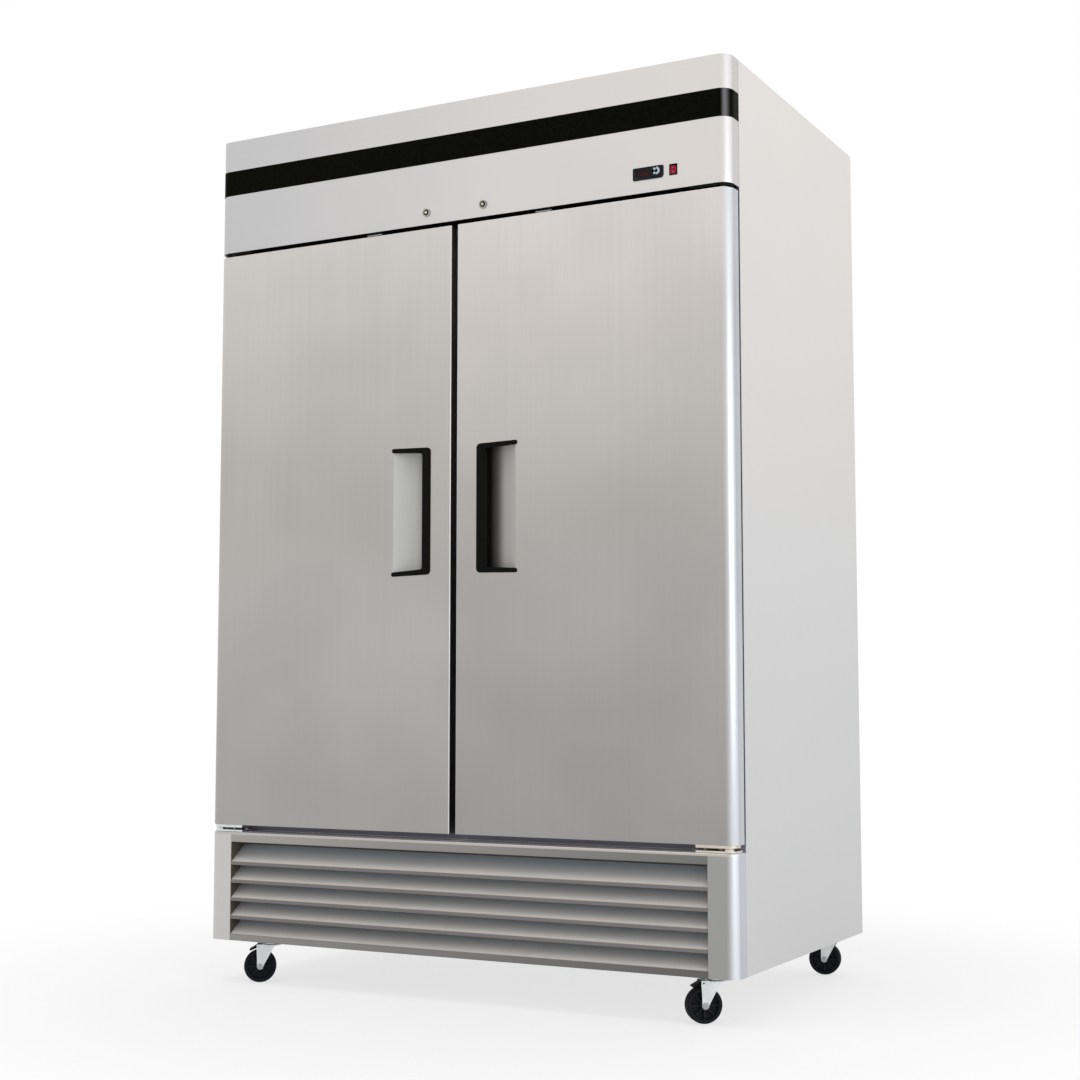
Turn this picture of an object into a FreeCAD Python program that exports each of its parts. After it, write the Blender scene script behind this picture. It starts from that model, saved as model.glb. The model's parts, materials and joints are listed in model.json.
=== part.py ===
import FreeCAD, Part
import math
import os

from FreeCAD import Vector

# Two-door upright freezer with its machine compartment below.
# Millimetres. X to the right, Y to the back, Z up. Z is zero on the floor.

# Whole object
cabinet_width = 1382.0
cabinet_depth = 850.0
cabinet_height = 2090.0
ground_clearance = 102.0
sheet = 1.2
corner_radius = 30.0
edge_radius = 1.0
overrun = 6.0
seat_gap = 0.3
running_gap = 0.05

# Front, from the lower edge upwards
grille_height = 261.0
lower_gap = 16.0
upper_gap = 10.0
header_height = 287.0

# Doors
door_gap = 16.0
door_thickness = 48.0
gasket_gap = 9.0
free_edge_radius = 3.0
liner_sheet = 1.5
plateau_rise = 14.0
plateau_clearance = 6.0

# Gasket
gasket_inset = 22.0
gasket_free_inset = 8.0
gasket_width = 20.0
gasket_base = 3.0
gasket_neck = 11.0
gasket_head = 3.5

# Hinges
pivot_inset = 22.0
pivot_depth = 16.0
hinge_pin_radius = 5.0
hinge_pin_reach = 22.0
bush_radius = 9.0
bush_flange_radius = 12.0
bush_flange = 1.5
bracket_length = 92.0
bracket_width = 44.0
bracket_sheet = 4.0
bracket_edge = 3.0
knuckle_radius = 11.0
arm_width = 34.0
screw_head_radius = 5.0
screw_head_height = 2.4

# Handles
handle_inset = 54.0
handle_width = 106.0
handle_height = 300.0
handle_floor = 593.0
handle_bar = 22.0
handle_arm_root = 14.0
handle_arm_tip = 10.0
handle_corner = 10.0
handle_proud = 2.5
handle_sink = 5.0
handle_flange = 4.0
scoop_depth = 32.0
scoop_corner = 9.0
scoop_sheet = 1.0

# Header
band_height = 63.0
band_drop = 77.0
band_proud = 0.6

# Locks
lock_offset = 77.0
lock_rise = 29.0
lock_ring_radius = 10.5
lock_ring_proud = 3.0
lock_proud = 4.0
lock_barrel_radius = 8.0
lock_barrel_depth = 14.0
lock_plug_radius = 6.0
lock_cam_length = 46.0
lock_cam_width = 9.0
lock_cam_sheet = 2.5
key_slot_length = 7.0
key_slot_width = 1.6
key_slot_depth = 2.0
cam_slot_margin = 4.0
keeper_sheet = 1.5
keeper_margin = 4.0

# Controller
controller_inset = 193.0
controller_rise = 43.5
controller_width = 74.0
controller_height = 28.5
controller_corner = 3.0
controller_lower_corner = 8.0
controller_proud = 2.4
controller_body_depth = 42.0
controller_body_inset = 2.5
display_width = 36.0
display_height = 16.5
display_shift = 10.5
display_sheet = 1.5
display_sink = 0.4
keypad_shift = 20.0
keypad_rise = 2.4
keypad_radius = 10.0
keypad_hub_radius = 3.4
key_radius = 3.0
key_shift = 4.0
key_rise = 4.8
key_proud = 0.8
key_depth = 3.0
key_gap = 0.25
crescent_inner = 4.2
crescent_outer = 8.6

# Rocker switch
switch_inset = 132.6
switch_width = 19.0
switch_height = 25.0
switch_rim = 1.8
switch_proud = 1.6
switch_body_depth = 24.0
switch_body_inset = 1.5
rocker_pivot_depth = 5.0
rocker_tip_proud = 2.6
rocker_waist_proud = 0.8
rocker_half = 8.8
rocker_gap = 0.4
rocker_tilt = 8.0
rocker_pin_radius = 1.2

# Door switches under the header
door_switch_inset = 461.0
door_switch_length = 42.0
door_switch_width = 12.0
door_switch_height = 5.0

# Insulated box
wall = 50.0
box_floor_rise = 1.0
breaker_sheet = 3.0
mullion_width = 84.0
mullion_depth = 50.0
rear_return = 20.0
ceiling_drop = 60.0

# Shelves
shelf_count = 3
shelf_side_gap = 14.0
shelf_front_gap = 30.0
shelf_back_gap = 20.0
shelf_frame_radius = 4.0
shelf_wire_radius = 2.0
shelf_wire_count = 22
shelf_wire_sink = 1.0
pilaster_width = 20.0
pilaster_depth = 8.0
pilaster_sheet = 1.2
pilaster_inset = 90.0
pilaster_end_gap = 30.0
slot_pitch = 60.0
slot_width = 6.0
slot_height = 14.0
clip_width = 16.0
clip_height = 12.0

# Evaporator
cover_drop = 250.0
cover_sheet = 1.5
cover_side_gap = 40.0
cover_front_gap = 60.0
cover_back_gap = 12.0
evaporator_fan_radius = 95.0
evaporator_fan_setback = 190.0
fan_opening_gap = 5.0
guard_ring_count = 4
guard_wire_radius = 1.5
coil_side_gap = 101.0
coil_fan_gap = 88.0
coil_height = 160.0
coil_back_gap = 30.0
coil_rise = 20.0
tube_radius = 5.0
tube_rows = 4
coil_plate = 1.5

# Fans and motors
fan_blade_count = 5
fan_blade_sheet = 1.6
fan_blade_pitch = 28.0
fan_hub_radius = 22.0
fan_hub_height = 20.0
fan_tip_gap = 3.0
motor_radius = 38.0
motor_length = 60.0
motor_shaft_radius = 4.0
motor_arm_width = 12.0
motor_arm_sheet = 3.0
motor_arm_gap = 2.0

# Grille
cap_width = 66.0
cap_sheet = 1.5
top_rail_height = 25.0
bottom_rail_height = 14.5
rail_return = 12.0
blade_count = 5
blade_pitch = 43.2
blade_lip = 6.0
blade_rise = 40.0
blade_setback = 3.0
blade_side_gap = 0.3

# Base pan
pan_flange = 24.0

# Machine compartment
condenser_width = 460.0
condenser_height = 200.0
condenser_depth = 60.0
condenser_inset = 371.0
condenser_setback = 20.0
shroud_sheet = 1.5
shroud_depth = 40.0
condenser_fan_radius = 90.0
compressor_radius = 78.0
compressor_height = 190.0
compressor_dome = 40.0
compressor_inset = 361.0
compressor_setback = 420.0
compressor_foot = 210.0
compressor_foot_sheet = 4.0
grommet_radius = 11.0
grommet_height = 16.0
grommet_inset = 22.0
terminal_sink = 11.0
terminal_depth = 22.0
terminal_width = 44.0
terminal_rise = 40.0
terminal_height = 40.0
pipe_radius = 4.8
pipe_bend = 30.0
inlet_width = 60.0
inlet_height = 40.0
inlet_depth = 30.0
inlet_rise = 70.0
inlet_inset = 211.0
inlet_flange = 6.0
inlet_rim = 3.0
inlet_wall = 6.0
inlet_pin_radius = 2.4
inlet_pin_pitch = 14.0
inlet_pin_sink = 6.0
vent_rows = 5
vent_width = 260.0
vent_height = 9.0
vent_pitch = 26.0
vent_first = 60.0
vent_share = 0.275

# Casters
wheel_radius = 39.0
wheel_width = 28.0
wheel_edge = 4.0
wheel_hub_radius = 11.0
wheel_rim = 9.0
wheel_web = 9.0
wheel_rib_count = 8
wheel_rib_sheet = 3.0
wheel_rib_recess = 3.5
axle_radius = 5.0
axle_head_radius = 7.5
axle_head_height = 3.5
trail = 28.0
fork_sheet = 2.8
fork_side_gap = 2.2
fork_end_radius = 7.5
fork_back = 8.0
crown_radius = 23.0
race_radius = 21.0
race_height = 6.5
kingpin_radius = 5.0
kingpin_head_radius = 9.0
kingpin_head_height = 3.0
plate_length = 92.0
plate_width = 66.0
plate_sheet = 4.0
plate_corner = 8.0
plate_bolt_radius = 4.2
plate_bolt_length_spacing = 72.0
plate_bolt_width_spacing = 45.0
caster_inset_left = 143.0
caster_inset_right = 76.0
caster_inset_rear_right = 56.0
caster_front_setback = 68.0
caster_back_setback = 39.0
front_left_heading = 215.0
front_right_heading = 218.0
rear_left_heading = 205.0
rear_right_heading = 190.0

# Brake pedals
pedal_reach = 22.0
pedal_drop = 9.0
pedal_sheet = 4.0
pedal_width = 24.0
pedal_pin_radius = 2.5
pedal_pin_advance = 4.0
pedal_pin_drop = 5.0

# Levels and planes that follow from the sizes above
half_width = cabinet_width / 2
front = (lock_proud - cabinet_depth) / 2
back = front + cabinet_depth
box_front = front + door_thickness + gasket_gap
grille_bottom = ground_clearance
grille_top = grille_bottom + grille_height
door_bottom = grille_top + lower_gap
header_bottom = cabinet_height - header_height
door_top = header_bottom - upper_gap
band_top = cabinet_height - band_drop
band_bottom = band_top - band_height
opening_bottom = door_bottom + wall
opening_top = door_top - wall
opening_side = half_width - wall
shelf_pitch = (opening_top - opening_bottom) / (shelf_count + 1)
cavity_back = back - wall
cavity_ceiling = cabinet_height - ceiling_drop
box_bottom = grille_top + box_floor_rise
pivot_x = half_width - pivot_inset
pivot_y = front + pivot_depth
lock_z = header_bottom + lock_rise
controller_centre = half_width - controller_inset
switch_centre = half_width - switch_inset
door_switch_offset = half_width - door_switch_inset
inlet_offset = half_width - inlet_inset
diagonal_share = math.sqrt(0.5)


def block(x_low, x_high, y_low, y_high, z_low, z_high):
    """A box between two corners."""
    return Part.makeBox(x_high - x_low, y_high - y_low, z_high - z_low, Vector(x_low, y_low, z_low))


def upright(radius, x, y, z_low, z_high):
    """A round bar along Z."""
    return Part.makeCylinder(radius, z_high - z_low, Vector(x, y, z_low))


def crosswise(radius, x_low, x_high, y, z):
    """A round bar along X."""
    return Part.makeCylinder(radius, x_high - x_low, Vector(x_low, y, z), Vector(1, 0, 0))


def inward(radius, x, y_low, y_high, z):
    """A round bar along Y."""
    return Part.makeCylinder(radius, y_high - y_low, Vector(x, y_low, z), Vector(0, 1, 0))


def mirrored(shape):
    """The same shape on the other side of the middle plane."""
    return shape.mirror(Vector(0, 0, 0), Vector(1, 0, 0))


def joined(shapes):
    """One solid from shapes that touch or cross."""
    return shapes[0].multiFuse(shapes[1:]).removeSplitter().Solids[0]


def plan_face(x_low, x_high, y_front, y_back, r_low, r_high, z):
    """A plan outline, square at the back, with its two front corners rounded."""
    low_centre = Vector(x_low + r_low, y_front + r_low, z)
    high_centre = Vector(x_high - r_high, y_front + r_high, z)
    low_mid = low_centre + Vector(-r_low, -r_low, 0) * diagonal_share
    high_mid = high_centre + Vector(r_high, -r_high, 0) * diagonal_share
    low_side = Vector(x_low, y_front + r_low, z)
    low_front = Vector(x_low + r_low, y_front, z)
    high_front = Vector(x_high - r_high, y_front, z)
    high_side = Vector(x_high, y_front + r_high, z)
    low_back = Vector(x_low, y_back, z)
    high_back = Vector(x_high, y_back, z)
    edges = [
        Part.LineSegment(low_back, low_side).toShape(),
        Part.Arc(low_side, low_mid, low_front).toShape(),
        Part.LineSegment(low_front, high_front).toShape(),
        Part.Arc(high_front, high_mid, high_side).toShape(),
        Part.LineSegment(high_side, high_back).toShape(),
        Part.LineSegment(high_back, low_back).toShape(),
    ]
    return Part.Face(Part.Wire(edges))


def plan_solid(x_low, x_high, y_front, y_back, r_low, r_high, z_low, z_high):
    """A plan outline raised from one level to another."""
    face = plan_face(x_low, x_high, y_front, y_back, r_low, r_high, z_low)
    return face.extrude(Vector(0, 0, z_high - z_low))


def outline_face(points):
    """A flat face through points in order."""
    return Part.Face(Part.makePolygon(list(points) + [points[0]]))


def side_prism(points, x_low, x_high):
    """A side outline of (y, z) points carried along X."""
    return outline_face([Vector(x_low, y, z) for y, z in points]).extrude(Vector(x_high - x_low, 0, 0))


def eased(solid, radius, chosen):
    """The solid with the edges that the test picks rounded."""
    edges = [edge for edge in solid.Edges if chosen(edge)]
    return solid.makeFillet(radius, edges) if edges else solid


def rounded_plate(x_low, x_high, y_low, y_high, radius, z_low, z_high):
    """A flat plate with round corners."""
    plate = block(x_low, x_high, y_low, y_high, z_low, z_high)
    return eased(plate, radius, lambda edge: edge.BoundBox.ZLength > (z_high - z_low) / 2)


def face_ring(x_low, x_high, z_low, z_high, inset, width, y_low, y_high):
    """A rectangular ring that lies in a front plane."""
    outer = block(x_low + inset, x_high - inset, y_low, y_high, z_low + inset, z_high - inset)
    cut = inset + width
    inner = block(x_low + cut, x_high - cut, y_low - overrun, y_high + overrun, z_low + cut, z_high - cut)
    return outer.cut(inner)


# Outer shell

def side_panel(side):
    """A side sheet with its return round the back corner."""
    outer = half_width
    points = [(outer, box_front), (outer, back), (outer - rear_return, back),
              (outer - rear_return, back - sheet), (outer - sheet, back - sheet), (outer - sheet, box_front)]
    face = outline_face([Vector(x, y, ground_clearance) for x, y in points])
    panel = face.extrude(Vector(0, 0, cabinet_height - ground_clearance))
    return [panel if side > 0 else mirrored(panel)]


def shell_half_width():
    """Half the width that the header's sheet leaves inside it."""
    return half_width - band_proud - sheet


def top_panel():
    """The roof sheet, which follows the inside of the header's front."""
    reach = shell_half_width()
    radius = corner_radius - sheet
    z_low = cabinet_height - sheet
    y_back = back - sheet
    return [plan_solid(-reach, reach, front + sheet, y_back, radius, radius, z_low, cabinet_height)]


def back_panel():
    """The back sheet, with air slots behind the machine compartment."""
    reach = half_width - rear_return
    panel = block(-reach, reach, back - sheet, back, ground_clearance + sheet, cabinet_height)
    for side in (-1, 1):
        centre = side * half_width * vent_share
        for row in range(vent_rows):
            z_low = ground_clearance + vent_first + row * vent_pitch
            x_low = centre - vent_width / 2
            z_high = z_low + vent_height
            slot = block(x_low, x_low + vent_width, back - overrun, back + overrun, z_low, z_high)
            panel = panel.cut(slot)
    return [panel.cut(inlet_block(0, back - overrun, back + overrun))]


def bottom_panel():
    """The sheet under the insulated box."""
    reach = half_width - sheet
    return [block(-reach, reach, box_front, back - sheet, box_bottom - sheet, box_bottom)]


# Insulated box

def cavity(growth):
    """The inside of the box, enlarged all round by a growth."""
    side = opening_side + growth
    return block(-side, side, box_front - overrun, cavity_back + growth,
                 opening_bottom - growth, cavity_ceiling + growth)


def lintel():
    """The insulated beam above the doors, in front of the cavity."""
    return block(-opening_side - wall, opening_side + wall, box_front - overrun, box_front + wall,
                 opening_top, cabinet_height)


def cabinet_foam():
    """The foam between the outer sheets and the liner."""
    side = half_width - sheet
    y_low = box_front + breaker_sheet
    foam = block(-side, side, y_low, back - sheet, box_bottom, cabinet_height - sheet)
    hollow = cavity(liner_sheet).cut(lintel_core())
    return [foam.cut(hollow)]


def lintel_core():
    """The part of the lintel that holds foam."""
    reach = half_width
    return block(-reach, reach, box_front - 2 * overrun, box_front + wall - liner_sheet,
                 opening_top + liner_sheet, cabinet_height)


def cabinet_liner():
    """The inner lining of the box, open at the two doors."""
    lintel_space = lintel_core()
    outer = cavity(liner_sheet).cut(lintel_space)
    inner = cavity(0).cut(lintel())
    shell = outer.cut(inner)
    y_low = box_front + breaker_sheet
    reach = half_width
    front_waste = block(-reach, reach, box_front - 2 * overrun, y_low, 0, cabinet_height)
    return [shell.cut(front_waste).Solids[0]]


def breaker_frame():
    """The frame round both openings that the gaskets close on, with its centre post."""
    side = half_width - sheet
    frame = block(-side, side, box_front, box_front + breaker_sheet, box_bottom, header_bottom)
    inner = block(-opening_side, opening_side, box_front - overrun, box_front + wall,
                  opening_bottom, opening_top)
    frame = frame.cut(inner)
    half_post = mullion_width / 2
    post = block(-half_post, half_post, box_front, box_front + mullion_depth, opening_bottom, opening_top)
    return [joined([frame, post])]


# Header

def header_solid(offset, z_low, z_high):
    """The header's plan form, brought in by an offset."""
    reach = half_width - band_proud - offset
    radius = corner_radius - offset
    return plan_solid(-reach, reach, front + offset, box_front, radius, radius, z_low, z_high)


def cam_slot(side, z_low, z_high):
    """The slot that a lock's cam sweeps through, down into the door."""
    x = side * lock_offset
    swept = side * (lock_cam_length + cam_slot_margin)
    near = -side * (lock_cam_width / 2 + cam_slot_margin / 2)
    y_low = cam_front() - cam_slot_margin / 2
    y_high = cam_front() + lock_cam_sheet + cam_slot_margin / 2
    return block(min(x + near, x + swept), max(x + near, x + swept), y_low, y_high, z_low, z_high)


def header_fascia():
    """The folded front of the header, with its floor and its openings."""
    outer = header_solid(0, header_bottom, cabinet_height)
    outer = eased(outer, edge_radius, lambda edge: is_front_rim(edge, header_bottom))
    inner = header_solid(sheet, header_bottom + sheet, cabinet_height + overrun)
    shell = outer.cut(inner)
    for side in (-1, 1):
        hole = inward(lock_barrel_radius, side * lock_offset, front - overrun, front + overrun, lock_z)
        shell = shell.cut(hole)
        shell = shell.cut(cam_slot(side, header_bottom - overrun, header_bottom + overrun))
    shell = shell.cut(controller_cutout())
    shell = shell.cut(switch_cutout())
    return [shell]


def is_front_rim(edge, level):
    """Whether an edge lies level, at one height, and not at the back."""
    return is_level_at(edge, level) and edge.BoundBox.YMin < box_front - gasket_gap - edge_radius


def header_band():
    """The dark band that wraps the header from side to side."""
    reach = half_width
    radius = corner_radius + band_proud
    outer = plan_solid(-reach, reach, front - band_proud, box_front, radius, radius, band_bottom, band_top)
    return [outer.cut(header_solid(0, band_bottom - overrun, band_top + overrun))]


# Locks

def cam_front():
    """The front plane of a lock's cam, behind its barrel."""
    return front + lock_barrel_depth + seat_gap


def lock_barrels():
    """The two fixed lock barrels with their face rings."""
    barrels = []
    for side in (-1, 1):
        x = side * lock_offset
        ring = inward(lock_ring_radius, x, front - lock_ring_proud, front, lock_z)
        ring = eased(ring, edge_radius, lambda edge: edge.BoundBox.YMax < front - edge_radius)
        tube = inward(lock_barrel_radius, x, front, front + lock_barrel_depth, lock_z)
        bore = inward(lock_plug_radius + running_gap, x, front - overrun, front + 4 * overrun, lock_z)
        barrels.append(joined([ring, tube]).cut(bore))
    return barrels


def lock_plug(side):
    """The turning plug with its key slot, and the cam on its back end."""
    x = side * lock_offset
    plug = inward(lock_plug_radius, x, front - lock_proud, cam_front(), lock_z)
    plug_face = front - lock_proud
    slot = block(x - key_slot_width / 2, x + key_slot_width / 2, plug_face - overrun,
                 plug_face + key_slot_depth, lock_z - key_slot_length / 2, lock_z + key_slot_length / 2)
    half_cam = lock_cam_width / 2
    y_low = cam_front()
    y_high = y_low + lock_cam_sheet
    eye = inward(half_cam + edge_radius, x, y_low, y_high, lock_z)
    tip = x + side * (lock_cam_length - half_cam)
    bar = block(min(x, tip), max(x, tip), y_low, y_high, lock_z - half_cam, lock_z + half_cam)
    end = inward(half_cam, tip, y_low, y_high, lock_z)
    return [joined([plug.cut(slot), eye, bar, end])]


# Controller

def controller_bounds(inset):
    """The controller's outline on the header, brought in by an inset."""
    z_mid = header_bottom + controller_rise
    half = controller_width / 2 - inset
    rise = controller_height / 2 - inset
    return controller_centre - half, controller_centre + half, z_mid - rise, z_mid + rise


def controller_cutout():
    """The hole in the header for the controller's body."""
    x_low, x_high, z_low, z_high = controller_bounds(controller_body_inset - seat_gap)
    return block(x_low, x_high, front - overrun, front + overrun, z_low, z_high)


def display_bounds():
    """The display window's outline."""
    x_mid = controller_centre - display_shift
    z_mid = header_bottom + controller_rise
    return (x_mid - display_width / 2, x_mid + display_width / 2,
            z_mid - display_height / 2, z_mid + display_height / 2)


def keypad_centre():
    """The middle of the three keys, as (x, z)."""
    return controller_centre + keypad_shift, header_bottom + controller_rise + keypad_rise


def controller_bezel():
    """The controller's front frame and the body behind it, with seats for the window and keys."""
    x_low, x_high, z_low, z_high = controller_bounds(0)
    bezel = block(x_low, x_high, front - controller_proud, front, z_low, z_high)
    bezel = rounded_corners(bezel, Vector(x_high, front, z_low))
    face_limit = front - controller_proud + running_gap
    bezel = eased(bezel, edge_radius / 2, lambda edge: edge.BoundBox.YMax < face_limit)
    x_low, x_high, z_low, z_high = controller_bounds(controller_body_inset)
    body = block(x_low, x_high, front, front + controller_body_depth, z_low, z_high)
    whole = joined([bezel, body])
    x_low, x_high, z_low, z_high = display_bounds()
    seat_depth = front - controller_proud + display_sink + display_sheet
    whole = whole.cut(block(x_low, x_high, front - overrun, seat_depth, z_low, z_high))
    return [whole.cut(key_well())]


def rounded_corners(bezel, lower_right):
    """The bezel with small upper corners, and a large one at its lower right."""
    corner = Part.Vertex(lower_right)
    depthwise = [edge for edge in bezel.Edges if edge.BoundBox.YLength > controller_proud / 2]
    large = [edge for edge in depthwise if edge.distToShape(corner)[0] < running_gap]
    small = [edge for edge in depthwise if edge.distToShape(corner)[0] >= running_gap]
    waste = bezel.cut(bezel.makeFillet(controller_corner, small))
    return bezel.makeFillet(controller_lower_corner, large).cut(waste)


def key_well():
    """The room that the three keys move in."""
    x, z = keypad_centre()
    y_high = front + key_depth
    well = inward(keypad_radius - key_gap, x, front - overrun, y_high, z)
    hub = inward(keypad_hub_radius, x, front - overrun, y_high, z)
    return well.cut(hub)


def display_window():
    """The clear window of the display."""
    x_low, x_high, z_low, z_high = display_bounds()
    y_low = front - controller_proud + display_sink
    return [block(x_low, x_high, y_low, y_low + display_sheet, z_low, z_high)]


def key_front():
    """The front plane of the keys."""
    return front - controller_proud - key_proud


def key_back():
    """The back plane of the keys at rest, ahead of the bottom of their well."""
    return front + key_depth - 2 * key_proud


def round_key(level):
    """A round key, above or below the middle, on the left of the keypad."""
    x, z = keypad_centre()
    place_x = x - key_shift
    place_z = z + level * key_rise
    key = inward(key_radius - key_gap, place_x, key_front(), key_back(), place_z)
    return [eased(key, edge_radius / 2, lambda edge: edge.BoundBox.YMax < key_front() + running_gap)]


def crescent_key():
    """The crescent key on the right of the keypad."""
    x, z = keypad_centre()
    ring = inward(crescent_outer, x, key_front(), key_back(), z)
    ring = ring.cut(inward(crescent_inner, x, key_front() - overrun, key_back() + overrun, z))
    reach = keypad_radius + overrun
    left = block(x - reach, x + key_gap, key_front() - overrun, key_back() + overrun, z - reach, z + reach)
    return [ring.cut(left)]


# Rocker switch

def switch_bounds(inset):
    """The switch's outline on the header, brought in by an inset."""
    z_mid = header_bottom + controller_rise
    half = switch_width / 2 - inset
    rise = switch_height / 2 - inset
    return switch_centre - half, switch_centre + half, z_mid - rise, z_mid + rise


def switch_cutout():
    """The hole in the header for the switch's body."""
    x_low, x_high, z_low, z_high = switch_bounds(switch_body_inset - seat_gap)
    return block(x_low, x_high, front - overrun, front + overrun, z_low, z_high)


def switch_frame():
    """The switch's frame and body, with the room that the rocker turns in."""
    x_low, x_high, z_low, z_high = switch_bounds(0)
    rim = block(x_low, x_high, front - switch_proud, front, z_low, z_high)
    rim = eased(rim, edge_radius / 2, lambda edge: edge.BoundBox.YMax < front - switch_proud + running_gap)
    x_low, x_high, z_low, z_high = switch_bounds(switch_body_inset)
    body = block(x_low, x_high, front, front + switch_body_depth, z_low, z_high)
    x_low, x_high, z_low, z_high = switch_bounds(switch_rim)
    room_depth = front + rocker_pivot_depth + rocker_half + overrun / 2
    room = block(x_low, x_high, front - overrun, room_depth, z_low, z_high)
    z_mid = header_bottom + controller_rise
    whole = joined([rim, body]).cut(room)
    pin = crosswise(rocker_pin_radius, x_low, x_high, front + rocker_pivot_depth, z_mid)
    return [joined([whole, pin])]


def power_rocker():
    """The rocker, hollowed across its middle, resting with its lower end pressed in."""
    x_low, x_high, _, _ = switch_bounds(switch_rim + rocker_gap)
    y_mid = front + rocker_pivot_depth
    z_mid = header_bottom + controller_rise
    tip_y = front - rocker_tip_proud
    waist_y = front - rocker_waist_proud
    foot = y_mid + rocker_pin_radius + 2 * edge_radius
    half_foot = rocker_half - 2 * edge_radius
    points = [(tip_y, z_mid - rocker_half), (waist_y, z_mid), (tip_y, z_mid + rocker_half),
              (y_mid, z_mid + rocker_half), (foot, z_mid + half_foot), (foot, z_mid - half_foot),
              (y_mid, z_mid - rocker_half)]
    rocker = side_prism(points, x_low, x_high)
    bore = crosswise(rocker_pin_radius + running_gap, x_low - overrun, x_high + overrun, y_mid, z_mid)
    rocker = rocker.cut(bore)
    rocker.rotate(Vector(0, y_mid, z_mid), Vector(1, 0, 0), rocker_tilt)
    return [rocker]


def door_switches():
    """The two switches under the header that feel the doors."""
    switches = []
    for side in (-1, 1):
        x_low = side * door_switch_offset - door_switch_length / 2
        y_low = pivot_y - door_switch_width / 2
        switch = block(x_low, x_low + door_switch_length, y_low, y_low + door_switch_width,
                       header_bottom - door_switch_height, header_bottom)
        upright_edge = door_switch_height / 2
        switches.append(eased(switch, edge_radius, lambda edge: edge.BoundBox.ZLength > upright_edge))
    return switches


# Doors, built on the right and mirrored to the left

def door_solid(inset, depth):
    """The right door's plan form, brought in on all sides but the back."""
    x_low = door_gap / 2 + inset
    x_high = half_width - inset
    r_free = max(free_edge_radius - inset, edge_radius)
    return plan_solid(x_low, x_high, front + inset, front + depth, r_free, corner_radius - inset,
                      door_bottom + inset, door_top - inset)


def handle_bounds():
    """The handle's outline on the right door, as x and z limits."""
    x_low = door_gap / 2 + handle_inset
    z_low = door_bottom + handle_floor
    return x_low, x_low + handle_width, z_low, z_low + handle_height


def scoop(growth):
    """The finger scoop's room: steep and deep under the bar, running out to the door's face."""
    x_low, x_high, z_low, z_high = handle_bounds()
    near = x_low + handle_flange - growth
    far = x_high - handle_flange + growth
    deep = front + scoop_depth + growth
    bend = scoop_corner + growth
    top = front - overrun
    z_low = z_low + handle_flange - growth
    z_high = z_high - handle_flange + growth
    span = far - near - bend
    mid_share = 0.6
    mid_depth_share = 0.72
    bend_mid = Vector(near + bend - bend * diagonal_share, deep - bend + bend * diagonal_share, z_low)
    run_mid = Vector(near + bend + span * mid_share, front + (scoop_depth + growth) * mid_depth_share, z_low)
    corners = [Vector(far, front, z_low), Vector(far, top, z_low), Vector(near, top, z_low),
               Vector(near, deep - bend, z_low)]
    floor_start = Vector(near + bend, deep, z_low)
    edges = [Part.LineSegment(corners[0], corners[1]).toShape(),
             Part.LineSegment(corners[1], corners[2]).toShape(),
             Part.LineSegment(corners[2], corners[3]).toShape(),
             Part.Arc(corners[3], bend_mid, floor_start).toShape(),
             Part.Arc(floor_start, run_mid, corners[0]).toShape()]
    return Part.Face(Part.Wire(edges)).extrude(Vector(0, 0, z_high - z_low))


def right_skin():
    """The folded door skin with its finger scoop and the holes for hinge, cam and bush."""
    outer = door_solid(0, door_thickness)
    outer = eased(outer, edge_radius, lambda edge: is_door_rim(edge))
    inner = door_solid(sheet, door_thickness + overrun)
    wall_of_scoop = scoop(scoop_sheet).common(outer)
    skin = joined([outer.cut(inner), wall_of_scoop]).cut(scoop(0))
    skin = skin.cut(cam_slot(1, door_top - overrun, door_top + overrun))
    for z in (door_bottom, door_top):
        skin = skin.cut(upright(bush_radius, pivot_x, pivot_y, z - overrun, z + overrun))
    return skin


def is_door_rim(edge):
    """Whether an edge lies along the door's front at its top or bottom."""
    bounds = edge.BoundBox
    level = bounds.ZLength < running_gap
    starts_ahead = bounds.YMin < front + corner_radius + running_gap
    ends_ahead = bounds.YMax < front + (door_thickness + corner_radius) / 2
    return level and starts_ahead and ends_ahead


def plateau_bounds(growth):
    """The raised middle of the inner liner, as x and z limits."""
    inset = wall + plateau_clearance - growth
    x_low = mullion_width / 2 + plateau_clearance - growth
    return x_low, half_width - inset, door_bottom + inset, door_top - inset


def right_foam():
    """The foam that fills the door behind its skin and in its raised liner."""
    core = door_solid(sheet, door_thickness - liner_sheet)
    x_low, x_high, z_low, z_high = plateau_bounds(-liner_sheet)
    y_low = front + door_thickness - liner_sheet - overrun
    y_high = front + door_thickness + plateau_rise - liner_sheet
    core = joined([core, block(x_low, x_high, y_low, y_high, z_low, z_high)])
    core = core.cut(scoop(scoop_sheet))
    core = core.cut(cam_room())
    for z_from, z_to in bush_spans():
        core = core.cut(upright(bush_radius, pivot_x, pivot_y, z_from, z_to))
    return core


def cam_room():
    """The pocket in the foam below the door's lock slot."""
    depth = lock_cam_length - lock_rise - upper_gap + 2 * overrun
    return cam_slot(1, door_top - depth, door_top + overrun)


def bush_spans():
    """The heights between which each hinge bush fills the door."""
    depth = hinge_pin_reach + bush_flange
    return ((door_bottom - overrun, door_bottom + depth), (door_top - depth, door_top + overrun))


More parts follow.
